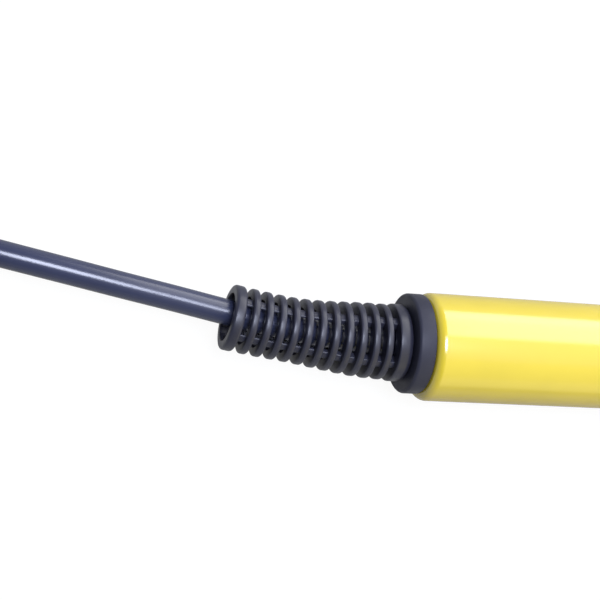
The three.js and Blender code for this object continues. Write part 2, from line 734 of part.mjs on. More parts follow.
add(probe, "chassis", chassis(), chassisGrey);
add(probe, "cable_clamp", cableClamp(), chassisGrey);
[-1, 1].forEach((side, index) => {
  const clampScrew = add(probe, `clamp_screw_${index + 1}`, screw(CLAMP_HEIGHT + CLAMP_SCREW_BITE), steel);
  clampScrew.position.set(CLAMP_START + CLAMP_LENGTH / 2, side * CLAMP_SCREW_SIDE, CLAMP_HEIGHT + FIT);
});

const boardLow = [BOARD_START, -BOARD_HALF_WIDTH, boardBottom];
const boardHigh = [boardEnd, BOARD_HALF_WIDTH, BOARD_TOP];
add(probe, "circuit_board", boxBetween(boardLow, boardHigh), boardGreen);

// Chip with legs along both long sides, standing on the board.
function chip(length, width, legs) {
  const legPitch = length / legs;
  const parts = [];
  for (let i = 0; i < legs; i += 1) {
    const middle = -length / 2 + (i + 0.5) * legPitch;
    const low = [middle - LEG_WIDTH / 2, -width / 2 - LEG_REACH, 0];
    const high = [middle + LEG_WIDTH / 2, width / 2 + LEG_REACH, LEG_HEIGHT];
    parts.push(boxBetween(low, high));
  }
  const body = boxBetween(
    [-length / 2, -width / 2, CHIP_UNDERSIDE],
    [length / 2, width / 2, CHIP_TOP],
  );
  return join(body, ...parts);
}

const detector = chip(DETECTOR_LENGTH, DETECTOR_WIDTH, DETECTOR_LEGS);
const amplifier = chip(AMPLIFIER_LENGTH, AMPLIFIER_WIDTH, AMPLIFIER_LEGS);
add(probe, "detector_chip", detector, chipBlack).position.set(detectorStation, 0, partSeat);
add(probe, "amplifier_chip", amplifier, chipBlack)
  .position.set(amplifierStation, AMPLIFIER_SIDE, partSeat);

[-1, 1].forEach((side, index) => {
  const can = turnZ([
    [0, 0],
    [0, CAPACITOR_RADIUS],
    [CAPACITOR_HEIGHT - CAPACITOR_RIM, CAPACITOR_RADIUS],
    [CAPACITOR_HEIGHT, CAPACITOR_RADIUS - CAPACITOR_RIM],
    [CAPACITOR_HEIGHT, 0],
  ]);
  const capacitor = add(probe, `capacitor_${index + 1}`, can, trimmerBlue);
  capacitor.position.set(capacitorStation, side * CAPACITOR_SIDE, partSeat);
});

// ---------------------------------------------------------------- trimmer

function trimmerBody() {
  const half = TRIMMER_SIZE / 2;
  const well = rodProfile(
    TRIMMER_HEIGHT - TRIMMER_ROTOR_HEIGHT,
    TRIMMER_HEIGHT + OVERSHOOT,
    TRIMMER_ROTOR_RADIUS + FIT,
  );
  return cut(boxBetween([-half, -half, 0], [half, half, TRIMMER_HEIGHT]), turnZ(well));
}

function trimmerRotor() {
  const low = TRIMMER_HEIGHT - TRIMMER_ROTOR_HEIGHT + FIT;
  const high = TRIMMER_HEIGHT + FIT;
  const slot = boxBetween(
    [-TRIMMER_ROTOR_RADIUS - OVERSHOOT, -SCREW_SLOT / 2, high - SCREW_SLOT],
    [TRIMMER_ROTOR_RADIUS * TRIMMER_SLOT_REACH, SCREW_SLOT / 2, high + OVERSHOOT],
  );
  return cut(turnZ(rodProfile(low, high, TRIMMER_ROTOR_RADIUS)), slot);
}

const trimmer = new THREE.Group();
trimmer.position.set(trimmerStation, TRIMMER_SIDE, partSeat);
probe.add(trimmer);
add(trimmer, "trimmer_body", trimmerBody(), trimmerBlue);
add(trimmer, "trimmer_rotor", trimmerRotor(), formerWhite);

// ---------------------------------------------------------------- button, switch, spring

const buttonGroup = new THREE.Group();
buttonGroup.position.x = buttonStation;
probe.add(buttonGroup);

const plungerWell = PLUNGER_PROUD + BUTTON_TRAVEL;

function tactileSwitch() {
  const half = SWITCH_SIDE / 2;
  const body = boxBetween([-half, -half, partSeat], [half, half, switchTop]);
  const wellFloor = switchTop - plungerWell;
  return cut(body, turnZ(rodProfile(wellFloor, switchTop + OVERSHOOT, PLUNGER_RADIUS + FIT)));
}

// Button with a pocket underneath that comes down round the end of its spring.
function pushButton() {
  const top = HOUSING_RADIUS + BUTTON_PROUD;
  const pocketTop = buttonFlangeBottom + BUTTON_TRAVEL;
  const pocketRadius = SPRING_RADIUS + SPRING_WIRE + FIT;
  return turnZ([
    [plungerTop + FIT, 0],
    [plungerTop + FIT, BUTTON_STEM_RADIUS],
    [pocketTop, BUTTON_STEM_RADIUS],
    [pocketTop, pocketRadius],
    [buttonFlangeBottom, pocketRadius],
    [buttonFlangeBottom, BUTTON_RADIUS + BUTTON_FLANGE],
    [buttonFlangeTop, BUTTON_RADIUS + BUTTON_FLANGE],
    [buttonFlangeTop, BUTTON_RADIUS],
    [top - BUTTON_CROWN, BUTTON_RADIUS],
    [top - BUTTON_CROWN / 3, BUTTON_RADIUS - BUTTON_CROWN],
    [top, 0],
  ], PLUG_ROUND);
}

function bezel() {
  return turnZ([
    [bezelBottom, BUTTON_RADIUS + FIT],
    [bezelBottom, bezelRadius],
    [bezelTop - BEZEL_CHAMFER, bezelRadius],
    [bezelTop, bezelRadius - BEZEL_CHAMFER],
    [bezelTop, BUTTON_RADIUS + FIT],
    [bezelBottom, BUTTON_RADIUS + FIT],
  ], BEZEL_ROUND);
}

function buttonSpring() {
  const low = switchTop + FIT + SPRING_WIRE;
  const high = buttonFlangeBottom - FIT - SPRING_WIRE;
  const perTurn = 9;
  const points = [];
  for (let i = 0; i <= SPRING_TURNS * perTurn; i += 1) {
    const angle = (2 * Math.PI * i) / perTurn;
    const height = low + ((high - low) * i) / (SPRING_TURNS * perTurn);
    points.push([SPRING_RADIUS * Math.cos(angle), SPRING_RADIUS * Math.sin(angle), height]);
  }
  return tubeAlong(points, SPRING_WIRE, 5, SPRING_TURNS * perTurn);
}

const plunger = rodProfile(switchTop - plungerWell + BUTTON_TRAVEL + FIT, plungerTop, PLUNGER_RADIUS);
add(buttonGroup, "tactile_switch", tactileSwitch(), chipBlack);
add(buttonGroup, "switch_plunger", turnZ(plunger), formerWhite);
add(buttonGroup, "push_button", pushButton(), buttonRed);
add(buttonGroup, "button_bezel", bezel(), noseBlack);
add(buttonGroup, "button_spring", buttonSpring(), steel);

// ---------------------------------------------------------------- indicator light

function led() {
  const lensBottom = HOUSING_RADIUS + LENS_PROUD - LENS_HEIGHT;
  const top = lensBottom - FIT;
  const base = top - LED_BODY_HEIGHT;
  const rim = base + LED_RIM_HEIGHT;
  const dome = arcProfile(top - LED_RADIUS, 0, LED_RADIUS, LED_RADIUS, 90, 0, 4);
  const bulb = turnZ([[base, 0], [base, ledBase], [rim, ledBase], [rim, LED_RADIUS], ...dome]);
  const legs = [-1, 1].map((side) => {
    const half = LED_LEG_WIDTH / 2;
    const middle = side * LED_RADIUS * LED_LEG_PLACE;
    return boxBetween([-half, middle - half, partSeat], [half, middle + half, base + LED_LEG_ROOT]);
  });
  return join(bulb, ...legs);
}

function ledLens() {
  const top = HOUSING_RADIUS + LENS_PROUD;
  const bottom = top - LENS_HEIGHT;
  return turnZ([
    [bottom, 0],
    [bottom, LENS_RADIUS],
    [top - LENS_DOME, LENS_RADIUS],
    [top - LENS_CROWN, LENS_RADIUS * LENS_CROWN_REACH],
    [top, 0],
  ], PLUG_ROUND);
}

add(probe, "led", led(), ledClear).position.x = ledStation;
add(probe, "led_lens", ledLens(), lensClear).position.x = ledStation;

// ---------------------------------------------------------------- vibration motor

const motor = new THREE.Group();
motor.position.set(motorStation, MOTOR_SIDE, partSeat + MOTOR_RADIUS);
probe.add(motor);

const shaftDepth = 6; // how far the shaft runs inside the motor

function motorBody() {
  const inner = MOTOR_SHAFT_RADIUS + FIT;
  return turnX([
    [0, 0],
    [0, MOTOR_RADIUS],
    [MOTOR_LENGTH, MOTOR_RADIUS],
    [MOTOR_LENGTH, inner],
    [MOTOR_LENGTH - shaftDepth - FIT, inner],
    [MOTOR_LENGTH - shaftDepth - FIT, 0],
  ], 20);
}

// Shaft with a half-round weight on it.
function motorWeight() {
  const weightStart = MOTOR_LENGTH + WEIGHT_GAP;
  const weightEnd = weightStart + WEIGHT_LENGTH;
  const shaft = turnX(rodProfile(MOTOR_LENGTH - shaftDepth, weightEnd, MOTOR_SHAFT_RADIUS), 10);
  const half = arcProfile(0, 0, WEIGHT_RADIUS, WEIGHT_RADIUS, 0, 180, 10);
  return join(shaft, extrudeX(shapeFrom(half), weightStart, WEIGHT_LENGTH));
}

add(motor, "vibration_motor", motorBody(), nickel);
add(motor, "motor_weight", motorWeight(), steel);

// ---------------------------------------------------------------- coil nose

function noseShell() {
  const spigot = innerRadius;
  const sealStation = noseRear - NOSE_SEAL_SETBACK;
  const grooveHalf = NOSE_SEAL_SECTION + NOSE_GROOVE_GAP;
  const grooveFloor = spigot - 2 * NOSE_SEAL_SECTION;
  const straightStart = noseRear + NOSE_SHOULDER + NOSE_TAPER;
  const rings = [];
  for (let i = 0; i < NOSE_RING_COUNT; i += 1) {
    const middle = straightStart + NOSE_RING_PITCH * (i + NOSE_RING_START);
    rings.push(
      [middle - NOSE_RING_WIDTH / 2, NOSE_RADIUS],
      [middle - NOSE_RING_WIDTH / 4, NOSE_RADIUS - NOSE_RING_DEPTH],
      [middle + NOSE_RING_WIDTH / 4, NOSE_RADIUS - NOSE_RING_DEPTH],
      [middle + NOSE_RING_WIDTH / 2, NOSE_RADIUS],
    );
  }
  const shell = turnX([
    [noseSpigotRear, NOSE_BORE],
    [noseSpigotRear, spigot],
    [sealStation - grooveHalf, spigot],
    [sealStation - grooveHalf, grooveFloor],
    [sealStation + grooveHalf, grooveFloor],
    [sealStation + grooveHalf, spigot],
    [noseRear, spigot],
    [noseRear, HOUSING_RADIUS - FRONT_CHAMFER],
    [noseRear + FRONT_CHAMFER, HOUSING_RADIUS],
    [noseRear + NOSE_SHOULDER, HOUSING_RADIUS],
    [straightStart, NOSE_RADIUS],
    ...rings,
    [noseFront, NOSE_RADIUS],
    [noseFront, NOSE_BORE],
    [noseSpigotRear, NOSE_BORE],
  ], MEDIUM_ROUND);
  const pilots = [];
  for (let i = 0; i < NOSE_SCREW_COUNT; i += 1) {
    const pilot = turnZ(rodProfile(NOSE_BORE / 2, HOUSING_RADIUS, SCREW_RADIUS + FIT), 12);
    pilots.push(radial(pilot, noseScrewAngle(i), noseScrewStation));
  }
  return cut(shell, ...pilots);
}

function tipCap() {
  const spigot = NOSE_BORE - FIT;
  const dome = arcProfile(tipRear + TIP_RIM, 0, TIP_LENGTH - TIP_RIM, NOSE_RADIUS, 90, 0, 5);
  return turnX([
    [tipRear - TIP_SPIGOT, 0],
    [tipRear - TIP_SPIGOT, spigot],
    [tipRear, spigot],
    [tipRear, NOSE_RADIUS],
    ...dome,
  ], MEDIUM_ROUND);
}

const noseSealRadius = housingBore - FIT / 2 - NOSE_SEAL_SECTION;
add(probe, "nose_shell", noseShell(), noseBlack);
const noseSeal = sealRing(noseRear - NOSE_SEAL_SETBACK, noseSealRadius, NOSE_SEAL_SECTION);
add(probe, "nose_seal", noseSeal, sealRubber);
add(probe, "tip_cap", tipCap(), noseBlack);
for (let i = 0; i < NOSE_SCREW_COUNT; i += 1) {
  const noseScrew = screw(HOUSING_RADIUS - SCREW_HEAD_HEIGHT - NOSE_BORE - FIT);
  noseScrew.translate(0, 0, HOUSING_RADIUS - SCREW_HEAD_HEIGHT);
  add(probe, `nose_screw_${i + 1}`, radial(noseScrew, noseScrewAngle(i), noseScrewStation), steel);
}

// ---------------------------------------------------------------- coils

const formerStart = noseRear + FORMER_SETBACK;
const formerEnd = tipRear - TIP_SPIGOT - FORMER_TIP_GAP;
const formerBore = FERRITE_RADIUS + FIT;
const formerBarrel = formerBore + FORMER_WALL;
const coilInner = formerBarrel + FIT;
const coilOuter = coilInner + COIL_DEPTH;

// Three winding bays between four flanges: a short one at each end and a long one in the middle.
const sideBay = SIDE_COIL_LENGTH + 2 * FIT;
const bayEdges = [
  formerStart,
  formerStart + FORMER_FLANGE_THICKNESS + sideBay,
  formerEnd - 2 * FORMER_FLANGE_THICKNESS - sideBay,
  formerEnd - FORMER_FLANGE_THICKNESS,
];

function coilFormer() {
  const profile = [[formerStart, formerBore]];
  bayEdges.forEach((edge) => {
    if (edge !== formerStart) {
      profile.push([edge, formerBarrel]);
    }
    profile.push([edge, FORMER_FLANGE]);
    profile.push([edge + FORMER_FLANGE_THICKNESS, FORMER_FLANGE]);
    if (edge !== bayEdges[3]) {
      profile.push([edge + FORMER_FLANGE_THICKNESS, formerBarrel]);
    }
  });
  profile.push([formerEnd, formerBore], [formerStart, formerBore]);
  return turnX(profile, SMALL_ROUND);
}

function coil(bay) {
  const low = bayEdges[bay] + FORMER_FLANGE_THICKNESS + FIT;
  const high = bayEdges[bay + 1] - FIT;
  return turnX(ringProfile(low, high, coilInner, coilOuter), SMALL_ROUND);
}

function shieldSleeve() {
  const outer = NOSE_BORE - FIT;
  const inner = outer - SHIELD_THICKNESS;
  const half = SHIELD_SLIT_DEGREES / 2;
  const outline = [
    ...arcProfile(0, 0, outer, outer, 90 + half, 450 - half, 24),
    ...arcProfile(0, 0, inner, inner, 450 - half, 90 + half, 24),
  ];
  return extrudeX(shapeFrom(outline), formerStart, formerEnd - formerStart);
}

const ferrite = rodProfile(formerStart + FERRITE_INSET, formerEnd - FERRITE_INSET, FERRITE_RADIUS);
add(probe, "coil_former", coilFormer(), formerWhite);
add(probe, "ferrite_rod", turnX(ferrite, PLUG_ROUND), ferriteGrey);
add(probe, "receive_coil_rear", coil(0), copper);
add(probe, "transmit_coil", coil(1), copper);
add(probe, "receive_coil_front", coil(2), copper);
add(probe, "shield_sleeve", shieldSleeve(), shieldFoil);

// ---------------------------------------------------------------- wires

const wireHeight = partSeat + WIRE_RADIUS;

// [name, side, material]: from the end of the jacket to the board's rear edge
const leadWires = [
  ["power_wire", -WIRE_SPREAD, wireRed],
  ["signal_wire", 0, wireWhite],
  ["ground_wire", WIRE_SPREAD, wireBlack],
];
for (const [name, side, material] of leadWires) {
  const start = CABLE_INSIDE + FIT;
  const fanned = GLAND_SIDE + side * WIRE_FAN;
  const points = [
    [start, GLAND_SIDE + side, 0],
    [start + WIRE_STRAIGHT, GLAND_SIDE + side, 0],
    [BOARD_START + WIRE_RISE_REACH, fanned, wireHeight + WIRE_RISE],
    [BOARD_START + WIRE_PAD_REACH, fanned, wireHeight],
  ];
  add(probe, name, tubeAlong(points, WIRE_RADIUS, 6, 7), material);
}

[-1, 1].forEach((side, index) => {
  const y = side * COIL_LEAD_SIDE;
  const points = [
    [boardEnd - COIL_LEAD_PAD_REACH, y, wireHeight],
    [boardEnd - COIL_LEAD_EDGE, y, wireHeight],
    [(boardEnd + formerStart) / 2, y, COIL_LEAD_MIDDLE_HEIGHT],
    [formerStart - COIL_LEAD_END_REACH, y, COIL_LEAD_HEIGHT],
    [formerStart - FIT, y, COIL_LEAD_END_HEIGHT],
  ];
  add(probe, `coil_lead_${index + 1}`, tubeAlong(points, WIRE_RADIUS, 6, 10), copper);
});

// ---------------------------------------------------------------- lead and its hank

// From inside the gland, out through the boot, down to the surface and to the hank.
const leadPoints = [
  [CABLE_INSIDE, GLAND_SIDE, HOUSING_RADIUS],
  [14, GLAND_SIDE, HOUSING_RADIUS],
  [0, GLAND_SIDE, HOUSING_RADIUS],
  [-14, 1.15, 16],
  [-28, 2.4, 16],
  [-42, 4.5, 16],
  [-54.3, 6.85, 16],
  [-68, 9.5, 16.2],
  [-82, 12.1, 16.7],
  [-98, 15.15, 17.2],
  [-112, 17.8, 17.3],
  [-124, 20.1, 16.3],
  [-136, 22.2, 13.6],
  [-148, 23.9, 9.6],
  [-158, 24.6, 6.5],
  [-164, 24.8, 5.2],
  [HANK_RIGHT + FIT, HANK_SIDE + FOLD_RADIUS + TURN_PITCH, hankLower],
];

// From the upper turn down across the loop's open middle into the plug.
const plugAxisHeight = PLUG_RADIUS;
const tailPoints = [
  [hankLeft + 2 * FIT, HANK_SIDE - FOLD_RADIUS, hankUpper + FIT],
  [hankLeft + 5, HANK_SIDE - FOLD_RADIUS + 0.1, hankUpper + FIT],
  [hankLeft + 11, HANK_SIDE - 20.6, hankUpper + FIT],
  [hankLeft + 19, HANK_SIDE - 16.3, hankUpper + FIT],
  [hankLeft + 27, HANK_SIDE - 9.8, 11.8],
  [hankLeft + 36, HANK_SIDE - 3, 10.3],
  [hankLeft + 44, HANK_SIDE - 0.3, plugAxisHeight + 0.1],
  [plugRear + 6, HANK_SIDE, plugAxisHeight],
  [plugRear + 14, HANK_SIDE, plugAxisHeight],
];

// At the near fold the lower outer turn moves in by one pitch while the inner turn climbs over it.
function foldShift(angleDegrees) {
  return Math.cos((Math.PI / 2) * smoothstep((angleDegrees + 90) / 180));
}

function foldArc(centre, radiusAt, from, to) {
  const points = [];
  for (let i = 0; i <= FOLD_STEPS; i += 1) {
    const degrees = from + ((to - from) * i) / FOLD_STEPS;
    const angle = THREE.MathUtils.degToRad(degrees);
    const radius = radiusAt(degrees);
    points.push([centre + radius * Math.cos(angle), HANK_SIDE + radius * Math.sin(angle)]);
  }
  return points;
}

function hankSlab(outline, hole, low, high) {
  const shape = shapeFrom(outline);
  if (hole) {
    shape.holes.push(shapeFrom(hole));
  }
  const settings = {
    depth: high - low - 2 * HANK_BEVEL,
    bevelSize: HANK_BEVEL,
    bevelOffset: -HANK_BEVEL,
    bevelThickness: HANK_BEVEL,
    bevelSegments: 1,
  };
  return new THREE.ExtrudeGeometry(shape, settings).translate(0, 0, low + HANK_BEVEL);
}

function cableHank() {
  const inner = FOLD_RADIUS - cableRadius;
  const middle = FOLD_RADIUS + cableRadius;
  const outer = FOLD_RADIUS + TURN_PITCH + cableRadius;
  const lowerOutline = [
    ...foldArc(HANK_RIGHT, (degrees) => middle + TURN_PITCH * foldShift(degrees), -90, 90),
    ...foldArc(hankLeft, () => outer, 90, 270),
  ];
  lowerOutline.splice(FOLD_STEPS + 1, 0, [HANK_RIGHT, HANK_SIDE + outer]);
  const opening = [
    ...foldArc(HANK_RIGHT, () => inner, -90, 90),
    ...foldArc(hankLeft, () => inner, 90, 270),
  ];
  const upperOutline = [
    ...foldArc(HANK_RIGHT, () => middle, -90, 90),
    ...foldArc(hankLeft, () => middle, 90, 270),
    ...foldArc(hankLeft, () => inner, 270, 90),
    ...foldArc(HANK_RIGHT, () => inner, 90, -90),
  ];
  const lower = hankSlab(lowerOutline, opening, hankLower - cableRadius, hankLower + cableRadius);
  const upper = hankSlab(upperOutline, null, hankLower - HANK_BEVEL / 2, hankUpper + cableRadius);
  return join(lower, upper);
}

// Strap round the three runs on one side of the hank.
function tieOutline(radius) {
  const inner = HANK_SIDE + FOLD_RADIUS;
  const outer = inner + TURN_PITCH;
  return [
    ...arcProfile(inner, hankLower, radius, radius, 180, 270, 4),
    ...arcProfile(outer, hankLower, radius, radius, 270, 405, 6),
    ...arcProfile(inner, hankUpper, radius, radius, 45, 180, 6),
  ];
}

function hankTie() {
  const shape = shapeFrom(tieOutline(cableRadius + TIE_CLEARANCE + TIE_THICKNESS));
  shape.holes.push(shapeFrom(tieOutline(cableRadius + TIE_CLEARANCE)));
  return extrudeX(shape, (hankLeft + HANK_RIGHT - TIE_WIDTH) / 2, TIE_WIDTH);
}

add(surface, "cable", tubeAlong(leadPoints, cableRadius, 10, 24), cableJacket);
add(surface, "cable_hank", cableHank(), cableJacket);
add(surface, "cable_tail", tubeAlong(tailPoints, cableRadius, 10, 12), cableJacket);
add(surface, "hank_tie", hankTie(), strapGrey);

// ---------------------------------------------------------------- screw plug

const plug = new THREE.Group();
plug.position.set(plugRear, HANK_SIDE, plugAxisHeight);
surface.add(plug);

const backnutStart = RELIEF_LENGTH + FIT;
const backnutEnd = backnutStart + BACKNUT_LENGTH;
const shellStart = RELIEF_LENGTH + 4;
const flangeStart = backnutEnd + FIT;
const flangeEnd = flangeStart + PLUG_FLANGE_LENGTH;
const mouth = flangeEnd + PLUG_BARREL_LENGTH;
const couplingEnd = mouth - COUPLING_SETBACK;
const couplingStart = couplingEnd - COUPLING_LENGTH;
const insertEnd = mouth - INSERT_RECESS;

function plugRelief() {
  const neckEnd = RELIEF_LENGTH + RELIEF_NECK_LENGTH;
  return turnX([
    [0, cableBore],
    [0, RELIEF_TIP_RADIUS],
    [RELIEF_LENGTH, RELIEF_ROOT_RADIUS],
    [RELIEF_LENGTH, RELIEF_NECK_RADIUS],
    [neckEnd, RELIEF_NECK_RADIUS],
    [neckEnd, cableBore],
    [0, cableBore],
  ], PLUG_ROUND);
}

function plugBacknut() {
  const outer = PLUG_RADIUS - BACKNUT_STEP;
  const thread = PLUG_SHELL_RADIUS - PLUG_THREAD_DEPTH + FIT;
  const neck = RELIEF_NECK_RADIUS + FIT;
  return turnX([
    [backnutStart, neck],
    [backnutStart, outer - BACKNUT_CHAMFER],
    [backnutStart + BACKNUT_CHAMFER, outer],
    [backnutEnd, outer],
    [backnutEnd, thread],
    [shellStart - FIT, thread],
    [shellStart - FIT, neck],
    [backnutStart, neck],
  ], PLUG_ROUND);
}

function plugShell() {
  const thread = PLUG_SHELL_RADIUS - PLUG_THREAD_DEPTH;
  const flange = PLUG_RADIUS - BACKNUT_STEP;
  const seat = insertEnd - INSERT_LENGTH - FIT;
  const narrow = PLUG_BORE - INSERT_SHOULDER;
  return turnX([
    [shellStart, narrow],
    [shellStart, thread],
    [flangeStart, thread],
    [flangeStart, flange],
    [flangeEnd, flange],
    [flangeEnd, PLUG_SHELL_RADIUS],
    [mouth, PLUG_SHELL_RADIUS],
    [mouth, PLUG_BORE],
    [seat, PLUG_BORE],
    [seat, narrow],
    [shellStart, narrow],
  ], PLUG_ROUND);
}

// Ring with a ridged outside, free to turn on the shell.
function couplingRing() {
  const outline = [];
  for (let i = 0; i < KNURL_COUNT * 4; i += 1) {
    const angle = (2 * Math.PI * i) / (KNURL_COUNT * 4);
    const radius = i % 4 < 2 ? PLUG_RADIUS : PLUG_RADIUS - KNURL_DEPTH;
    outline.push([radius * Math.cos(angle), radius * Math.sin(angle)]);
  }
  const shape = shapeFrom(outline);
  const inner = PLUG_SHELL_RADIUS + FIT;
  shape.holes.push(shapeFrom(arcProfile(0, 0, inner, inner, 360, 15, 23)));
  return extrudeX(shape, couplingStart, COUPLING_LENGTH);
}

function contactPlaces() {
  const places = [[0, 0]];
  for (let i = 0; i < OUTER_CONTACTS; i += 1) {
    const angle = Math.PI / 4 + (i * 2 * Math.PI) / OUTER_CONTACTS;
    places.push([CONTACT_CIRCLE * Math.cos(angle), CONTACT_CIRCLE * Math.sin(angle)]);
  }
  return places;
}

function plugInsert() {
  const body = turnX(rodProfile(insertEnd - INSERT_LENGTH, insertEnd, PLUG_BORE - FIT), PLUG_ROUND);
  const holeStart = insertEnd - CONTACT_LENGTH - 2 * FIT;
  const hole = rodProfile(holeStart, insertEnd + OVERSHOOT, CONTACT_RADIUS + FIT);
  const holes = contactPlaces().map(([y, z]) => turnX(hole, CONTACT_HOLE_ROUND).translate(0, y, z));
  return cut(body, ...holes);
}

add(plug, "plug_relief", plugRelief(), rubberBlack);
add(plug, "plug_backnut", plugBacknut(), nickel);
add(plug, "plug_shell", plugShell(), nickel);
add(plug, "coupling_ring", couplingRing(), nickel);
add(plug, "plug_insert", plugInsert(), chipBlack);
const contactEnd = insertEnd - FIT;
contactPlaces().forEach(([y, z], index) => {
  const profile = rodProfile(contactEnd - CONTACT_LENGTH, contactEnd, CONTACT_RADIUS);
  const contact = turnX(profile, CONTACT_ROUND);
  add(plug, `contact_${index + 1}`, contact, gold).position.set(0, y, z);
});

// ---------------------------------------------------------------- the whole object

const pinpointer = new THREE.Group();
probe.position.set(-tipFront / 2, 0, HOUSING_RADIUS);
surface.position.set(-tipFront / 2, 0, 0);
pinpointer.add(probe, surface);

export default pinpointer;
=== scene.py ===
"""Looks of a corded pinpointer probe: yellow housing, black gland collar, ribbed boot, slate lead.

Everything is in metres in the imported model's frame: the probe lies along +X, tip towards +X, +Z up.
"""
import math

import bmesh
import bpy
from mathutils import Matrix, Vector

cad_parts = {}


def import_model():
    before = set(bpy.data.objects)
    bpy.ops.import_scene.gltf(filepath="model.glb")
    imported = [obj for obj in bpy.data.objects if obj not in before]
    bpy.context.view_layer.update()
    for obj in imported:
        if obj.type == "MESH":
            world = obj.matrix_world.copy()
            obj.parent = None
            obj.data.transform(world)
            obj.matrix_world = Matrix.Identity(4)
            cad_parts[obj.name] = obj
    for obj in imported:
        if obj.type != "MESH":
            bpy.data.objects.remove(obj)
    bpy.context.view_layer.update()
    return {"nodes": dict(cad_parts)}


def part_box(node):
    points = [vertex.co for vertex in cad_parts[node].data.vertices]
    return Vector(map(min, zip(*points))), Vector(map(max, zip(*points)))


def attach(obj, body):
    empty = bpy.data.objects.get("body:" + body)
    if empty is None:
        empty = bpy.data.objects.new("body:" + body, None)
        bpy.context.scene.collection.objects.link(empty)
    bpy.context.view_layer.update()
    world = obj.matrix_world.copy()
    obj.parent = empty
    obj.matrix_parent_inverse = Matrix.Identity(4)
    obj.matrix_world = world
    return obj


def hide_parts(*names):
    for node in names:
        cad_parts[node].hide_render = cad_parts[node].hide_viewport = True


MM = 0.001

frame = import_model()

# ---------------------------------------------------------------- places taken from the frame


def low(node):
    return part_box(node)[0]


def high(node):
    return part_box(node)[1]


def middle(node):
    a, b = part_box(node)
    return (a + b) / 2


def half_width(node):
    a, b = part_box(node)
    return (b.y - a.y) / 2


AXIS_HEIGHT = middle("housing_tube").z
HOUSING_RADIUS = half_width("housing_tube")
HOUSING_REAR = low("housing_tube").x
HOUSING_FRONT = high("housing_tube").x
HOUSING_WALL = 2.6 * MM
COLLAR_REAR = low("rear_collar").x
COLLAR_RADIUS = half_width("rear_collar")
COLLAR_LENGTH = 5.2 * MM
GLAND_SIDE = middle("rear_collar").y
FIT = 0.3 * MM

# ---------------------------------------------------------------- camera

CAMERA_TILT = math.radians(15.97)  # leans back from straight down towards the lead's end
CAMERA_ROLL = math.radians(3.71)
CAMERA_DISTANCE = 344.5 * MM
CAMERA_AIM_BACK = 32.0 * MM  # aim point behind the collar
CAMERA_AIM_SIDE = 11.4 * MM


def make_camera():
    data = bpy.data.cameras.new("camera")
    data.lens = 72
    data.sensor_width = 36
    data.clip_start = 0.01
    data.clip_end = 20
    camera = bpy.data.objects.new("camera", data)
    bpy.context.scene.collection.objects.link(camera)
    back = Vector((-math.sin(CAMERA_TILT), 0, math.cos(CAMERA_TILT)))
    along = Vector((math.cos(CAMERA_TILT), 0, math.sin(CAMERA_TILT)))
    across = Vector((0, 1, 0))
    right = along * math.cos(CAMERA_ROLL) + across * math.sin(CAMERA_ROLL)
    up = across * math.cos(CAMERA_ROLL) - along * math.sin(CAMERA_ROLL)
    aim = Vector((COLLAR_REAR - CAMERA_AIM_BACK, CAMERA_AIM_SIDE, AXIS_HEIGHT))
    turn = Matrix((right, up, back)).transposed().to_4x4()
    camera.matrix_world = Matrix.Translation(aim + back * CAMERA_DISTANCE) @ turn
    bpy.context.scene.camera = camera


make_camera()

# ---------------------------------------------------------------- mesh helpers

SMOOTH_ANGLE = 32  # degrees; an edge that turns more than this stays sharp
NEARLY_STRAIGHT = 0.02  # radians; a corner this close to straight gets no arc
LARGEST_SHARE = 0.49  # of an edge's length, that one corner's arc may take
ON_AXIS = 1e-7  # a radius below this is a point on the axis


def from_bmesh(name, bm):
    """An object in the scene with the bmesh's shape; the bmesh is freed."""
    mesh = bpy.data.meshes.new(name)
    bm.to_mesh(mesh)
    bm.free()
    piece = bpy.data.objects.new(name, mesh)
    bpy.context.scene.collection.objects.link(piece)
    return piece


def skin(bm, rows, closed=False):
    """Faces between neighbouring rows of vertices; the rows close up, or both ends are filled."""
    pairs = list(zip(rows, rows[1:]))
    if closed:
        pairs.append((rows[-1], rows[0]))
    for first, second in pairs:
        for k in range(len(first)):
            j = (k + 1) % len(first)
            bm.faces.new((first[k], first[j], second[j], second[k]))
    if not closed:
        bm.faces.new(rows[0])
        bm.faces.new(rows[-1])
    bmesh.ops.recalc_face_normals(bm, faces=bm.faces)


def smooth(mesh, angle=SMOOTH_ANGLE):
    for polygon in mesh.polygons:
        polygon.use_smooth = True
    mesh.set_sharp_from_angle(angle=math.radians(angle))


def rounded(corners, steps=4):
    """Profile through corners [along, across, radius], each corner with a radius turned into an arc."""
    count = len(corners)
    closed = corners[0][:2] == corners[-1][:2]
    points = []
    for i, (x, y, radius) in enumerate(corners):
        here = Vector((x, y))
        if radius <= 0 or (not closed and i in (0, count - 1)):
            points.append(here)
            continue
        before = Vector(corners[i - 1 if i > 0 else count - 2][:2])
        after = Vector(corners[i + 1 if i < count - 1 else 1][:2])
        to_before = (before - here).normalized()
        to_after = (after - here).normalized()
        half = math.acos(max(-1, min(1, to_before.dot(to_after)))) / 2
        if half > math.pi / 2 - NEARLY_STRAIGHT:
            points.append(here)
            continue
        reach = radius / math.tan(half)
        longest = LARGEST_SHARE * min((before - here).length, (after - here).length)
        reach = min(reach, longest)
        radius = reach * math.tan(half)
        centre = here + (to_before + to_after).normalized() * (radius / math.sin(half))
        start = here + to_before * reach - centre
        turn = math.pi - 2 * half
        if to_after.x * to_before.y - to_after.y * to_before.x < 0:
            turn = -turn
        for k in range(steps + 1):
            a = turn * k / steps
            spun = Vector((start.x * math.cos(a) - start.y * math.sin(a),
                           start.x * math.sin(a) + start.y * math.cos(a)))
            points.append(centre + spun)
    if closed:
        points[-1] = points[0]
    return [(p.x, p.y) for p in points]


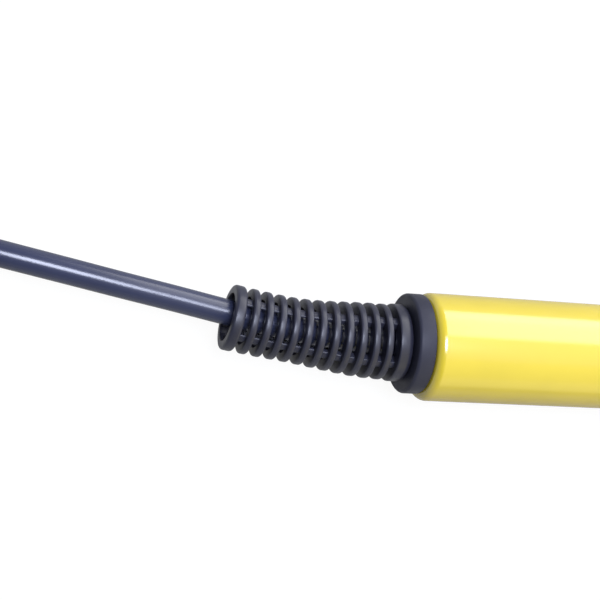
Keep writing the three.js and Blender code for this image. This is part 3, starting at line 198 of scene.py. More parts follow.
def turned(name, profile, segments=96, about="X", centre=(0, 0, 0)):
    """Turned mesh from a profile [along, radius]; ends on the axis or closed on itself."""
    closed = profile[0] == profile[-1]
    points = profile[:-1] if closed else profile
    bm = bmesh.new()
    rows = []
    for along, radius in points:
        row = []
        if radius < ON_AXIS:
            row.append(bm.verts.new((along, 0, 0)))
        else:
            for i in range(segments):
                a = 2 * math.pi * i / segments
                row.append(bm.verts.new((along, radius * math.cos(a), radius * math.sin(a))))
        rows.append(row)
    pairs = list(zip(rows, rows[1:]))
    if closed:
        pairs.append((rows[-1], rows[0]))
    for first, second in pairs:
        for i in range(segments):
            j = (i + 1) % segments
            corners = [first[i % len(first)], first[j % len(first)],
                       second[j % len(second)], second[i % len(second)]]
            unique = list(dict.fromkeys(corners))
            if len(unique) >= 3:
                bm.faces.new(unique)
    bmesh.ops.recalc_face_normals(bm, faces=bm.faces)
    if about == "Z":
        bm.transform(Matrix.Rotation(-math.pi / 2, 4, "Y"))
    bm.transform(Matrix.Translation(centre))
    return from_bmesh(name, bm)


def box_piece(name, low_corner, high_corner):
    bm = bmesh.new()
    bmesh.ops.create_cube(bm, size=1)
    size = Vector(high_corner) - Vector(low_corner)
    centre = (Vector(high_corner) + Vector(low_corner)) / 2
    bm.transform(Matrix.Translation(centre) @ Matrix.Diagonal((*size, 1)))
    return from_bmesh(name, bm)


def boolean(piece, others, operation):
    """Joins or cuts piece with each of the others, which are then removed."""
    for other in others:
        modifier = piece.modifiers.new("step", "BOOLEAN")
        modifier.object = other
        modifier.operation = operation
        modifier.solver = "MANIFOLD"
    graph = bpy.context.evaluated_depsgraph_get()
    graph.update()
    mesh = bpy.data.meshes.new_from_object(piece.evaluated_get(graph))
    piece.modifiers.clear()
    old = piece.data
    piece.data = mesh
    bpy.data.meshes.remove(old)
    for other in others:
        used = other.data
        bpy.data.objects.remove(other)
        bpy.data.meshes.remove(used)
    return piece


def move_mesh(piece, matrix):
    piece.data.transform(matrix)
    return piece


def show(piece, body, slot, material, *nodes, angle=SMOOTH_ANGLE):
    """Finishes a piece: shading, material, the body it rides on and the CAD nodes it stands for."""
    if piece.type == "MESH":
        smooth(piece.data, angle)
    piece.data.materials.clear()
    piece.data.materials.append(material)
    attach(piece, body)
    if nodes:
        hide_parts(*nodes)
    return piece


# ---------------------------------------------------------------- materials


def srgb(red, green, blue):
    """An sRGB colour, 0 to 255, as linear RGBA."""
    linear = []
    for value in (red, green, blue):
        share = value / 255
        linear.append(share / 12.92 if share <= 0.04045 else ((share + 0.055) / 1.055) ** 2.4)
    return (*linear, 1.0)


def shaded(color, factor):
    return (*(min(1.0, c * factor) for c in color[:3]), 1.0)


NOISE_LOW = 0.3  # a noise texture stays mostly between these two
NOISE_HIGH = 0.7


class Look:
    """A material being built: the Principled shader, and the textures that vary its surface."""

    def __init__(self, name):
        self.material = bpy.data.materials.new(name)
        self.material.use_nodes = True
        self.nodes = self.material.node_tree.nodes
        self.links = self.material.node_tree.links
        self.shader = self.nodes["Principled BSDF"]
        self.place = self.nodes.new("ShaderNodeTexCoord")

    def set(self, **sockets):
        for socket, value in sockets.items():
            self.shader.inputs[socket.replace("_", " ")].default_value = value

    def noise(self, scale, detail=3.0):
        node = self.nodes.new("ShaderNodeTexNoise")
        node.inputs["Scale"].default_value = scale
        node.inputs["Detail"].default_value = detail
        self.links.new(self.place.outputs["Object"], node.inputs["Vector"])
        return node.outputs["Fac"]

    def wave(self, scale, direction):
        node = self.nodes.new("ShaderNodeTexWave")
        node.bands_direction = direction
        node.inputs["Scale"].default_value = scale
        self.links.new(self.place.outputs["Object"], node.inputs["Vector"])
        return node.outputs["Fac"]

    def color(self, value, dark, light, start=0.35, end=0.65):
        node = self.nodes.new("ShaderNodeValToRGB")
        node.color_ramp.elements[0].position = start
        node.color_ramp.elements[0].color = dark
        node.color_ramp.elements[1].position = end
        node.color_ramp.elements[1].color = light
        self.links.new(value, node.inputs["Fac"])
        self.links.new(node.outputs["Color"], self.shader.inputs["Base Color"])

    def roughness(self, value, smallest, largest):
        node = self.nodes.new("ShaderNodeMapRange")
        node.inputs["From Min"].default_value = NOISE_LOW
        node.inputs["From Max"].default_value = NOISE_HIGH
        node.inputs["To Min"].default_value = smallest
        node.inputs["To Max"].default_value = largest
        self.links.new(value, node.inputs["Value"])
        self.links.new(node.outputs["Result"], self.shader.inputs["Roughness"])

    def bump(self, value, strength, distance):
        node = self.nodes.new("ShaderNodeBump")
        node.inputs["Strength"].default_value = strength
        node.inputs["Distance"].default_value = distance
        self.links.new(value, node.inputs["Height"])
        self.links.new(node.outputs["Normal"], self.shader.inputs["Normal"])


def moulded(name, color, gloss, grain=900, grain_depth=0.00004, variation=0.06, coat=0.0, coat_gloss=0.1,
            coat_ior=1.5, specular=0.5):
    """Moulded plastic or rubber: faint colour drift, uneven gloss and a fine surface grain."""
    look = Look(name)
    drift = look.noise(scale=60, detail=2)
    look.color(drift, shaded(color, 1 - variation), shaded(color, 1 + variation))
    look.roughness(look.noise(scale=260, detail=4), gloss * 0.88, gloss * 1.12)
    look.bump(look.noise(grain, detail=3), strength=0.35, distance=grain_depth)
    look.set(Coat_Weight=coat, Coat_Roughness=coat_gloss, Coat_IOR=coat_ior, Specular_IOR_Level=specular)
    return look


def metal(name, color, gloss):
    """Plated or bare metal with fine marks."""
    look = Look(name)
    marks = look.noise(scale=700, detail=4)
    look.color(marks, shaded(color, 0.88), shaded(color, 1.04))
    look.roughness(marks, gloss * 0.85, gloss * 1.2)
    look.bump(marks, strength=0.15, distance=0.00001)
    look.set(Metallic=1.0)
    return look


YELLOW = srgb(231, 207, 60)
SLATE = srgb(57, 62, 87)
BOOT_BLACK = srgb(49, 50, 63)
COLLAR_BLACK = srgb(52, 53, 66)

mat = {
    "yellow": moulded("yellow_gloss", YELLOW, 0.3, grain=500, grain_depth=0.000006, variation=0.02,
                      coat=1.0, coat_gloss=0.2, coat_ior=1.95, specular=0.0),
    "collar": moulded("collar_plastic", COLLAR_BLACK, 0.45, grain=1800, specular=0.25),
    "boot": moulded("boot_rubber", BOOT_BLACK, 0.34, grain=1500, grain_depth=0.00002),
    "cable": moulded("cable_jacket", SLATE, 0.4, grain_depth=0.00001, variation=0.05,
                     coat=1.0, coat_gloss=0.24, coat_ior=1.66, specular=0.0),
    "seal": moulded("seal_rubber", srgb(32, 32, 34), 0.6),
    "nose": moulded("nose_nylon", srgb(42, 43, 48), 0.4, grain=2200),
    "button": moulded("button_silicone", srgb(188, 48, 38), 0.45, grain=1600),
    "chassis": moulded("chassis_plastic", srgb(140, 143, 148), 0.5),
    "chip": moulded("chip_epoxy", srgb(34, 35, 38), 0.5),
    "blue": moulded("blue_plastic", srgb(48, 98, 178), 0.4),
    "white": moulded("white_plastic", srgb(226, 224, 214), 0.45),
    "red_wire": moulded("wire_red", srgb(172, 46, 38), 0.45),
    "ferrite": moulded("ferrite", srgb(62, 63, 66), 0.65, grain=3000),
    "nickel": metal("nickel_plate", srgb(178, 176, 173), 0.36),
    "steel": metal("zinc_steel", srgb(214, 216, 220), 0.28),
    "gold": metal("gold_plate", srgb(226, 186, 92), 0.25),
    "foil": metal("shield_foil", srgb(190, 192, 196), 0.35),
}


def winding_look():
    """Enamelled copper wire, wound turn by turn, with painted shade in the grooves between turns and a
    painted highlight on their crowns.
    """
    look = Look("copper_winding")
    turns = look.wave(scale=700, direction="X")
    # painted shade in the grooves between turns, painted highlight on their crowns
    look.color(turns, srgb(120, 62, 30), srgb(206, 124, 72), start=0.2, end=0.8)
    look.bump(turns, strength=0.8, distance=0.0001)
    look.set(Metallic=0.9, Roughness=0.35)
    return look


def board_look():
    """Green solder mask over tracks."""
    look = Look("solder_mask")
    tracks = look.wave(scale=90, direction="Y")
    look.color(tracks, srgb(26, 84, 50), srgb(38, 112, 66), start=0.45, end=0.55)
    look.roughness(look.noise(scale=300), 0.3, 0.42)
    look.bump(tracks, strength=0.3, distance=0.00005)
    return look


def clear_look(name, color, roughness):
    look = moulded(name, color, roughness, variation=0.02)
    look.set(Transmission_Weight=0.85, IOR=1.49)
    return look


def strap_look():
    """Woven hook-and-loop strap, with painted shade in the hollows of the weave."""
    look = Look("woven_strap")
    warp = look.wave(scale=420, direction="X")
    weft = look.wave(scale=420, direction="Y")
    mixed = look.nodes.new("ShaderNodeMath")
    mixed.operation = "MULTIPLY"
    look.links.new(warp, mixed.inputs[0])
    look.links.new(weft, mixed.inputs[1])
    weave_and_shade = mixed.outputs["Value"]
    # painted shade: darker where the threads dip, lighter on their tops
    look.color(weave_and_shade, srgb(34, 35, 38), srgb(72, 73, 78), start=0.1, end=0.8)
    look.roughness(look.noise(scale=500), 0.75, 0.95)
    look.bump(weave_and_shade, strength=0.7, distance=0.00012)
    look.set(Sheen_Weight=0.3)
    return look


mat["copper"] = winding_look()
mat["board"] = board_look()
mat["led"] = clear_look("led_epoxy", srgb(222, 70, 58), 0.1)
mat["lens"] = clear_look("clear_lens", srgb(240, 244, 248), 0.05)
mat["strap"] = strap_look()
mat = {name: look.material for name, look in mat.items()}

# Looks of the inner pieces, which keep their CAD shape.
INNER_SMOOTH_ANGLE = 40
INNER_LOOKS = {
    "collar_seal": "seal", "nose_seal": "seal", "gland_locknut": "nickel", "chassis": "chassis",
    "cable_clamp": "chassis", "clamp_screw_1": "steel", "clamp_screw_2": "steel", "circuit_board": "board",
    "detector_chip": "chip", "amplifier_chip": "chip", "capacitor_1": "blue", "capacitor_2": "blue",
    "trimmer_body": "blue", "trimmer_rotor": "white", "tactile_switch": "chip", "switch_plunger": "white",
    "button_spring": "steel", "led": "led", "vibration_motor": "nickel", "motor_weight": "steel",
    "coil_former": "white", "ferrite_rod": "ferrite", "receive_coil_rear": "copper",
    "transmit_coil": "copper", "receive_coil_front": "copper", "shield_sleeve": "foil",
    "power_wire": "red_wire", "signal_wire": "white", "ground_wire": "seal", "coil_lead_1": "copper",
    "coil_lead_2": "copper", "plug_insert": "chip",
    "contact_1": "gold", "contact_2": "gold", "contact_3": "gold", "contact_4": "gold", "contact_5": "gold",
}
for node, look_name in INNER_LOOKS.items():
    mesh = frame["nodes"][node].data
    mesh.materials.clear()
    mesh.materials.append(mat[look_name])
    smooth(mesh, INNER_SMOOTH_ANGLE)

# ---------------------------------------------------------------- lead

CABLE_RADIUS = 3.7 * MM
CABLE_DIAMETER = 2 * CABLE_RADIUS
FOLD_RADIUS = 3 * CABLE_DIAMETER
TURN_PITCH = CABLE_DIAMETER + FIT
TIE_GAP = 0.2 * MM
TIE_THICKNESS = 0.9 * MM
TIE_ROOM = 1.2 * MM  # under the hank, for the tie
HANK_LOWER = CABLE_RADIUS + TIE_ROOM
HANK_UPPER = HANK_LOWER + CABLE_DIAMETER
HANK_RIGHT = COLLAR_REAR - 168.4 * MM
HANK_STRAIGHT = 79 * MM
HANK_LEFT = HANK_RIGHT - HANK_STRAIGHT
HANK_SIDE = -5.1 * MM
PLUG_REAR = low("plug_relief").x
PLUG_AXIS = middle("coupling_ring").z
PATH_STEP = 2 * MM
FOLD_STEPS = 18

# Millimetres behind or ahead of the collar's rear face, to the side, and above the surface.
LEAD_POINTS = [
    (27, 0.7, 16), (14, 0.7, 16), (0, 0.7, 16), (-14, 1.15, 16), (-28, 2.4, 16), (-42, 4.5, 16),
    (-54.3, 6.85, 16), (-68, 9.5, 16.2), (-82, 12.1, 16.7), (-98, 15.15, 17.2), (-112, 17.8, 17.3),
    (-124, 20.1, 16.3), (-136, 22.2, 13.6), (-148, 23.9, 9.6), (-158, 24.6, 6.5), (-164, 24.8, 5.2),
]
# The same for the stretch from the hank into the plug, measured from the far fold and the hank's side.
TAIL_POINTS = [
    (5, -22.1, 12.6), (11, -20.6, 12.6), (19, -16.3, 12.6), (27, -9.8, 11.8), (36, -3, 10.3), (44, -0.3, 9.4),
]
PLUG_ENTRY = (6 * MM, 14 * MM)  # the lead's last two points, ahead of the plug's rear end


def near_fold_share(angle):
    """How far the turns have changed places at an angle round the near fold, as a quarter turn."""
    share = (angle + 90) / 180
    return (math.pi / 2) * share * share * (3 - 2 * share)


def fold(centre_x, start, end, radius_at, height_at):
    """Half a turn round one fold of the hank, between two angles in degrees."""
    points = []
    for i in range(FOLD_STEPS + 1):
        angle = start + (end - start) * i / FOLD_STEPS
        radius = radius_at(angle)
        a = math.radians(angle)
        side = HANK_SIDE + radius * math.sin(a)
        points.append(Vector((centre_x + radius * math.cos(a), side, height_at(angle))))
    return points


def far_fold(radius, height):
    return fold(HANK_LEFT, 90, 270, lambda a: radius, lambda a: height)


def near_fold(radius_at, height_at):
    return fold(HANK_RIGHT, -90, 90, radius_at, height_at)


def hank_turns():
    """The folds in the lead's order: the first turn moves inwards, the second one climbs."""
    points = far_fold(FOLD_RADIUS + TURN_PITCH, HANK_LOWER)
    points += near_fold(lambda a: FOLD_RADIUS + TURN_PITCH * math.cos(near_fold_share(a)),
                        lambda a: HANK_LOWER)
    points += far_fold(FOLD_RADIUS, HANK_LOWER)
    points += near_fold(lambda a: FOLD_RADIUS,
                        lambda a: HANK_LOWER + CABLE_DIAMETER * math.sin(near_fold_share(a)))
    points += far_fold(FOLD_RADIUS, HANK_UPPER)
    return points


def lead_route():
    route = [Vector((COLLAR_REAR + x * MM, y * MM, z * MM)) for x, y, z in LEAD_POINTS]
    entry_side = HANK_SIDE + FOLD_RADIUS + TURN_PITCH
    route.append(Vector((HANK_RIGHT, entry_side, HANK_LOWER)))
    route.append(Vector(((HANK_RIGHT + HANK_LEFT) / 2, entry_side, HANK_LOWER)))
    route += hank_turns()
    route += [Vector((HANK_LEFT + x * MM, HANK_SIDE + y * MM, z * MM)) for x, y, z in TAIL_POINTS]
    route += [Vector((PLUG_REAR + ahead, HANK_SIDE, PLUG_AXIS)) for ahead in PLUG_ENTRY]
    return route


def spline(points, step):
    """Smooth curve through the points, with samples about one step apart."""
    out = []
    count = len(points)
    for i in range(count - 1):
        a, b = points[i], points[i + 1]
        before = points[i - 1] if i > 0 else a + (a - b)
        after = points[i + 2] if i < count - 2 else b + (b - a)
        span = (b - a).length
        slope_a = (b - before) / ((b - a).length + (a - before).length) * span
        slope_b = (after - a) / ((after - b).length + span) * span
        pieces = max(1, math.ceil(span / step))
        for k in range(pieces):
            t = k / pieces
            h00 = 2 * t ** 3 - 3 * t ** 2 + 1
            h10 = t ** 3 - 2 * t ** 2 + t
            h01 = -2 * t ** 3 + 3 * t ** 2
            h11 = t ** 3 - t ** 2
            out.append(a * h00 + slope_a * h10 + b * h01 + slope_b * h11)
    out.append(points[-1].copy())
    return out


def tube_mesh(name, path, radius, sides=24):
    """Closed tube along a path, with a frame that doesn't twist."""
    bm = bmesh.new()
    rings = []
    normal = Vector((0, 0, 1))
    for i, point in enumerate(path):
        ahead = path[min(i + 1, len(path) - 1)] - path[max(i - 1, 0)]
        tangent = ahead.normalized()
        normal = (normal - tangent * normal.dot(tangent)).normalized()
        side = tangent.cross(normal)
        ring = []
        for k in range(sides):
            a = 2 * math.pi * k / sides
            ring.append(bm.verts.new(point + (normal * math.cos(a) + side * math.sin(a)) * radius))
        rings.append(ring)
    skin(bm, rings)
    return from_bmesh(name, bm)


lead_path = spline(lead_route(), PATH_STEP)
lead = tube_mesh("lead", lead_path, CABLE_RADIUS)
show(lead, "root", "cable_jacket", mat["cable"], "cable", "cable_hank", "cable_tail", angle=60)

# ---------------------------------------------------------------- housing


def cutting_rod(start, end, radius, centre=(0, 0, 0), segments=48):
    """A rod that stands on +Z, for cutting a hole."""
    return turned("cut", [(start, 0), (start, radius), (end, radius), (end, 0)], segments, "Z", centre)


BEZEL_RADIUS = half_width("button_bezel")
BUTTON_X = middle("push_button").x
LENS_X = middle("led_lens").x
LENS_RADIUS = half_width("led_lens")
SCREW_X = middle("nose_screw_1").x
SCREW_HEAD_RADIUS = half_width("nose_screw_1")
SCREW_HEAD_HEIGHT = 1.2 * MM
SCREW_COUNT = 3
SCREW_HOLE_RADIUS = 1.3 * MM
HEAD_CLEARANCE = 0.2 * MM
HOLE_CLEARANCE = 0.15 * MM
CUT_OVER = 2 * MM  # how far a cutter stands out of the housing
GLAND_HOLE_RADIUS = 11.0 * MM
END_WALL = 3.6 * MM
HOUSING_REAR_ROUNDING = 3.2 * MM
HOUSING_FRONT_ROUNDING = 0.5 * MM


def screw_turn(index):
    """Turns a piece that stands on +Z round the probe's axis, to one of the nose screws."""
    turn = Matrix.Rotation(2 * math.pi * index / SCREW_COUNT, 4, "X")
    axis = Matrix.Translation((SCREW_X, 0, AXIS_HEIGHT))
    return axis @ turn


def housing():
    bore = HOUSING_RADIUS - HOUSING_WALL
    wall_front = HOUSING_REAR + END_WALL
    profile = rounded([
        (HOUSING_REAR, GLAND_HOLE_RADIUS, 0),
        (HOUSING_REAR, HOUSING_RADIUS, HOUSING_REAR_ROUNDING),
        (HOUSING_FRONT, HOUSING_RADIUS, HOUSING_FRONT_ROUNDING),
        (HOUSING_FRONT, bore, 0),
        (wall_front, bore, 0),
        (wall_front, GLAND_HOLE_RADIUS, 0),
        (HOUSING_REAR, GLAND_HOLE_RADIUS, 0),
    ], steps=10)
    shell = turned("housing", profile, 160, centre=(0, 0, AXIS_HEIGHT))
    top = HOUSING_RADIUS + CUT_OVER
    cutters = [
        cutting_rod(0, top, BEZEL_RADIUS + HOLE_CLEARANCE, (BUTTON_X, 0, AXIS_HEIGHT)),
        cutting_rod(0, top, LENS_RADIUS + HOLE_CLEARANCE, (LENS_X, 0, AXIS_HEIGHT)),
    ]
    seat = HOUSING_RADIUS - SCREW_HEAD_HEIGHT - FIT
    head_hole = SCREW_HEAD_RADIUS + HEAD_CLEARANCE
    for i in range(SCREW_COUNT):
        cutter = turned("cut", [(0, 0), (0, SCREW_HOLE_RADIUS), (seat, SCREW_HOLE_RADIUS), (seat, head_hole),
                                (top, head_hole), (top, 0)], 32, "Z")
        cutters.append(move_mesh(cutter, screw_turn(i)))
    return boolean(shell, cutters, "DIFFERENCE")


show(housing(), "root", "yellow_housing", mat["yellow"], "housing_tube")

# ---------------------------------------------------------------- collar

COLLAR_BORE = 7.6 * MM
COLLAR_REAR_ROUNDING = 1.0 * MM
COLLAR_FRONT_ROUNDING = 0.5 * MM
SPIGOT_RADIUS = 10 * MM
SPIGOT_ROUNDING = 0.3 * MM


def collar():
    front = COLLAR_REAR + COLLAR_LENGTH
    end = high("rear_collar").x
    profile = rounded([
        (COLLAR_REAR, COLLAR_BORE, 0),
        (COLLAR_REAR, COLLAR_RADIUS, COLLAR_REAR_ROUNDING),
        (front, COLLAR_RADIUS, COLLAR_FRONT_ROUNDING),
        (front, SPIGOT_RADIUS, 0),
        (end, SPIGOT_RADIUS, SPIGOT_ROUNDING),
        (end, COLLAR_BORE, 0),
        (COLLAR_REAR, COLLAR_BORE, 0),
    ], steps=6)
    return turned("collar", profile, 128, centre=(0, GLAND_SIDE, AXIS_HEIGHT))


show(collar(), "root", "black_collar", mat["collar"], "rear_collar")

# ---------------------------------------------------------------- boot

RING_COUNT = 11
RING_THICKNESS = 2.05 * MM
RING_GAP = 1.9 * MM
RING_PITCH = RING_THICKNESS + RING_GAP
RING_RADIUS_BASE = 11.1 * MM
RING_RADIUS_END = 9.3 * MM
RING_TAPER_START = 2.5  # rings that keep the cable end's radius before the boot widens
BOOT_BORE = 6.75 * MM
BOOT_BASE_LENGTH = 4.5 * MM
BOOT_BASE_RADIUS = 11.4 * MM
END_RING_THICKNESS = 3.2 * MM
RING_ROUNDING = 0.6 * MM
END_RING_ROUNDING = 0.8 * MM
BORE_ROUNDING = 0.25 * MM
BASE_ROUNDING = 0.45 * MM
SHOULDER_ROUNDING = 1.6 * MM
BORE_FLOOR = 1.6 * MM
BOOT_NECK_RADIUS = 7.3 * MM
BOOT_FLANGE_RADIUS = 9 * MM
BOOT_FLANGE_THICKNESS = 2 * MM
BOOT_FLANGE_ROUNDING = 0.3 * MM
CABLE_GAP = 0.35 * MM
WEB_COUNT = 4
WEB_WIDTH = 2.6 * MM
WEB_ROUNDING = 0.5 * MM
WEB_DEPTH = 1.75 * MM
# The wide spine along the boot's underside is a dark piece that stands in for shade: it keeps the gaps
# between the rings dark.
SHADE_SPINE_WIDTH = 10 * MM
SHADE_SPINE_ROUNDING = 0.3 * MM
BAR_OVERLAP = 1.0 * MM  # how far webs and spine reach into the base
BAR_STEP = 0.1 * MM  # keeps their faces off the bore
BAR_ARC_STEPS = 8
BEND_RADIUS = 300 * MM


def ring_start(index):
    """The cable side of a thin ring; ring 0 is the one nearest to the cable's end of the boot."""
    return -BOOT_BASE_LENGTH - (RING_COUNT - index) * RING_PITCH


def ring_radius(index):
    share = (index - RING_TAPER_START) / (RING_COUNT - 1 - RING_TAPER_START)
    share = max(0.0, min(1.0, share))
    return RING_RADIUS_END + (RING_RADIUS_BASE - RING_RADIUS_END) * share * share * (3 - 2 * share)


def ring(name, start, end, radius, rounding):
    profile = rounded([
        (start, BOOT_BORE, BORE_ROUNDING),
        (start, radius, rounding),
        (end, radius, rounding),
        (end, BOOT_BORE, BORE_ROUNDING),
        (start, BOOT_BORE, BORE_ROUNDING),
    ], steps=6)
    return turned(name, profile, 96)


def boot_bar(width, rounding, angle):
    """A bar from the base to the thick end ring, stepping in with the rings' radius."""
    bm = bmesh.new()
    half = width / 2
    inner = BOOT_BORE + BAR_STEP
    stations = [(-BOOT_BASE_LENGTH + BAR_OVERLAP, RING_RADIUS_BASE)]
    for i in reversed(range(RING_COUNT)):
        stations.append((ring_start(i) + RING_THICKNESS / 2, ring_radius(i)))
    stations.append((ring_start(0) - RING_GAP - END_RING_THICKNESS / 2, RING_RADIUS_END))
    rows = []
    for along, radius in stations:
        outer = radius - WEB_DEPTH
        rise = min(rounding, outer - inner - BAR_STEP)
        section = [(-half, inner)]
        for k in range(BAR_ARC_STEPS + 1):
            a = math.pi * (1 - k / BAR_ARC_STEPS)
            section.append((half * math.cos(a), outer - rise + rise * math.sin(a)))
        section.append((half, inner))
        rows.append([bm.verts.new((along, y, z)) for y, z in section])
    skin(bm, rows)
    bm.transform(Matrix.Rotation(angle, 4, "X"))
    return from_bmesh("bar", bm)


def bend_boot(mesh):
    """Bends the boot sideways, more the further it is from the collar."""
    for vertex in mesh.vertices:
        x, y, z = vertex.co
        back = max(0.0, -x)
        side = back / BEND_RADIUS
        vertex.co = (x + y * side, y + back * side / 2, z)


def boot():
    start = -BOOT_BASE_LENGTH
    flange = high("cable_boot").x - COLLAR_REAR
    flange_start = flange - BOOT_FLANGE_THICKNESS
    bore = CABLE_RADIUS + CABLE_GAP
    profile = rounded([
        (start, BOOT_BORE, BORE_ROUNDING),
        (start, BOOT_BASE_RADIUS, BASE_ROUNDING),
        (-FIT, BOOT_BASE_RADIUS, SHOULDER_ROUNDING),
        (-FIT, BOOT_NECK_RADIUS, 0),
        (flange_start, BOOT_NECK_RADIUS, 0),
        (flange_start, BOOT_FLANGE_RADIUS, BOOT_FLANGE_ROUNDING),
        (flange, BOOT_FLANGE_RADIUS, BOOT_FLANGE_ROUNDING),
        (flange, bore, 0),
        (-FIT - BORE_FLOOR, bore, 0.4 * MM),
        (start, BOOT_BORE, BORE_ROUNDING),
    ], steps=6)
    body = turned("boot", profile, 80)
    others = []
    for i in range(RING_COUNT):
        low_end = ring_start(i)
        others.append(ring("ring", low_end, low_end + RING_THICKNESS, ring_radius(i), RING_ROUNDING))
    end = ring_start(0) - RING_GAP
    others.append(ring("ring", end - END_RING_THICKNESS, end, RING_RADIUS_END, END_RING_ROUNDING))
    for i in range(WEB_COUNT):
        others.append(boot_bar(WEB_WIDTH, WEB_ROUNDING, math.pi / 4 + i * 2 * math.pi / WEB_COUNT))
    # The spine is a dark bar put there for the shade in the gaps between the rings, where the floor would
    # show through.
    others.append(boot_bar(SHADE_SPINE_WIDTH, SHADE_SPINE_ROUNDING, math.pi))
    boolean(body, others, "UNION")
    bend_boot(body.data)
    move_mesh(body, Matrix.Translation((COLLAR_REAR, GLAND_SIDE, AXIS_HEIGHT)))
    return body


boot_piece = show(boot(), "root", "boot_rubber", mat["boot"], "cable_boot", angle=40)

# ---------------------------------------------------------------- nose

NOSE_FRONT = high("nose_shell").x
NOSE_RADIUS = half_width("tip_cap")
NOSE_BORE = 9.5 * MM
NOSE_REAR = HOUSING_FRONT + FIT
NOSE_SHOULDER = NOSE_REAR + 6 * MM
NOSE_STRAIGHT = NOSE_REAR + 14 * MM
GROOVE_COUNT = 3
GROOVE_PITCH = 10 * MM
GROOVE_FIRST = 0.8  # pitches from where the straight part starts
GROOVE_DEPTH = 0.5 * MM
GROOVE_HALF_FLOOR = 0.4 * MM
GROOVE_HALF_TOP = 0.75 * MM
TIP_BEVEL = 0.3 * MM
TIP_RIM = 2 * MM
TIP_STEPS = 24


def nose():
    rear = low("nose_shell").x
    spigot = HOUSING_RADIUS - HOUSING_WALL - FIT
    corners = [
        (rear, NOSE_BORE, 0),
        (rear, spigot, 0.4 * MM),
        (NOSE_REAR, spigot, 0),
        (NOSE_REAR, HOUSING_RADIUS, 0.5 * MM),
        (NOSE_SHOULDER, HOUSING_RADIUS, 3 * MM),
        (NOSE_STRAIGHT, NOSE_RADIUS, 4 * MM),
    ]
    for i in range(GROOVE_COUNT):
        groove = NOSE_STRAIGHT + GROOVE_PITCH * (i + GROOVE_FIRST)
        corners += [
            (groove - GROOVE_HALF_TOP, NOSE_RADIUS, 0.25 * MM),
            (groove - GROOVE_HALF_FLOOR, NOSE_RADIUS - GROOVE_DEPTH, 0.2 * MM),
            (groove + GROOVE_HALF_FLOOR, NOSE_RADIUS - GROOVE_DEPTH, 0.2 * MM),
            (groove + GROOVE_HALF_TOP, NOSE_RADIUS, 0.25 * MM),
        ]
    corners += [(NOSE_FRONT, NOSE_RADIUS, 0.3 * MM), (NOSE_FRONT, NOSE_BORE, 0), (rear, NOSE_BORE, 0)]
    shell = turned("nose", rounded(corners), 128, centre=(0, 0, AXIS_HEIGHT))
    pilots = []
    for i in range(SCREW_COUNT):
        pilot = cutting_rod(5 * MM, 15 * MM, SCREW_HOLE_RADIUS, segments=24)
        pilots.append(move_mesh(pilot, screw_turn(i)))
    return boolean(shell, pilots, "DIFFERENCE")


def tip():
    rear = low("tip_cap").x
    rim = NOSE_FRONT + FIT
    end = high("tip_cap").x
    spigot = NOSE_BORE - FIT
    dome_start = rim + TIP_RIM
    profile = [(rear, 0), (rear, spigot), (rim, spigot), (rim, NOSE_RADIUS - TIP_BEVEL),
               (rim + TIP_BEVEL, NOSE_RADIUS)]
    for i in range(TIP_STEPS + 1):
        a = math.pi / 2 * (1 - i / TIP_STEPS)
        profile.append((dome_start + (end - dome_start) * math.cos(a), NOSE_RADIUS * math.sin(a)))
    profile[-1] = (end, 0)
    return turned("tip", profile, 128, centre=(0, 0, AXIS_HEIGHT))


show(nose(), "root", "nose_plastic", mat["nose"], "nose_shell")
show(tip(), "root", "nose_plastic", mat["nose"], "tip_cap")


def slotted_screw(index):
    radius = SCREW_HEAD_RADIUS
    shank = 1.0 * MM
    point = 10 * MM
    top = HOUSING_RADIUS
    under = top - SCREW_HEAD_HEIGHT
    slot_half = 0.3 * MM
    slot_floor = top - 0.6 * MM
    profile = rounded([
        (point, 0, 0),
        (point, shank, 0.2 * MM),
        (under, shank, 0),
        (under, radius, 0.15 * MM),
        (under + 0.7 * MM, radius, 0.3 * MM),
        (top - 0.05 * MM, radius * 0.6, 0.4 * MM),
        (top - 0.02 * MM, 0, 0),
    ], steps=3)
    piece = turned("nose_screw_head_%d" % (index + 1), profile, 48, "Z")
    slot_cut = box_piece("cut", (-radius * 2, -slot_half, slot_floor), (radius * 2, slot_half, top + 1 * MM))
    boolean(piece, [slot_cut], "DIFFERENCE")
    return move_mesh(piece, screw_turn(index))


for number in range(SCREW_COUNT):
    show(slotted_screw(number), "root", "steel", mat["steel"], "nose_screw_%d" % (number + 1))

# ---------------------------------------------------------------- button and light


def button():
    """Button with a pocket underneath that comes down round the end of its spring."""
    radius = 5 * MM
    stem = 2 * MM
    flange_thickness = 1.2 * MM
    pocket_depth = 1.2 * MM
    bottom = low("push_button").z
    top = high("push_button").z
    flange_radius = half_width("push_button")
    flange_top = low("button_bezel").z - FIT
    flange_bottom = flange_top - flange_thickness
    pocket_radius = half_width("button_spring") + FIT
    pocket_top = flange_bottom + pocket_depth
    rim = top - 0.25 * MM
    dish = top - 0.7 * MM
    profile = rounded([
        (bottom, 0, 0),
        (bottom, stem, 0.2 * MM),
        (pocket_top, stem, 0),
        (pocket_top, pocket_radius, 0),
        (flange_bottom, pocket_radius, 0.1 * MM),
        (flange_bottom, flange_radius, 0.2 * MM),
        (flange_top, flange_radius, 0.2 * MM),
        (flange_top, radius, 0),
        (rim, radius, 0.9 * MM),
        (rim, radius - 1.6 * MM, 0.3 * MM),
        (dish, radius - 2.4 * MM, 0.6 * MM),
        (dish - 0.1 * MM, 0, 0),
    ], steps=5)
    return turned("button", profile, 72, "Z", (BUTTON_X, 0, 0))


def bezel():
    inner = 5.3 * MM
    low_z, high_z = low("button_bezel").z, high("button_bezel").z
    profile = rounded([
        (low_z, inner, 0), (low_z, BEZEL_RADIUS, 0.2 * MM), (high_z, BEZEL_RADIUS, 0.7 * MM),
        (high_z, inner, 0.25 * MM), (low_z, inner, 0),
    ], steps=5)
    return turned("bezel", profile, 72, "Z", (BUTTON_X, 0, 0))


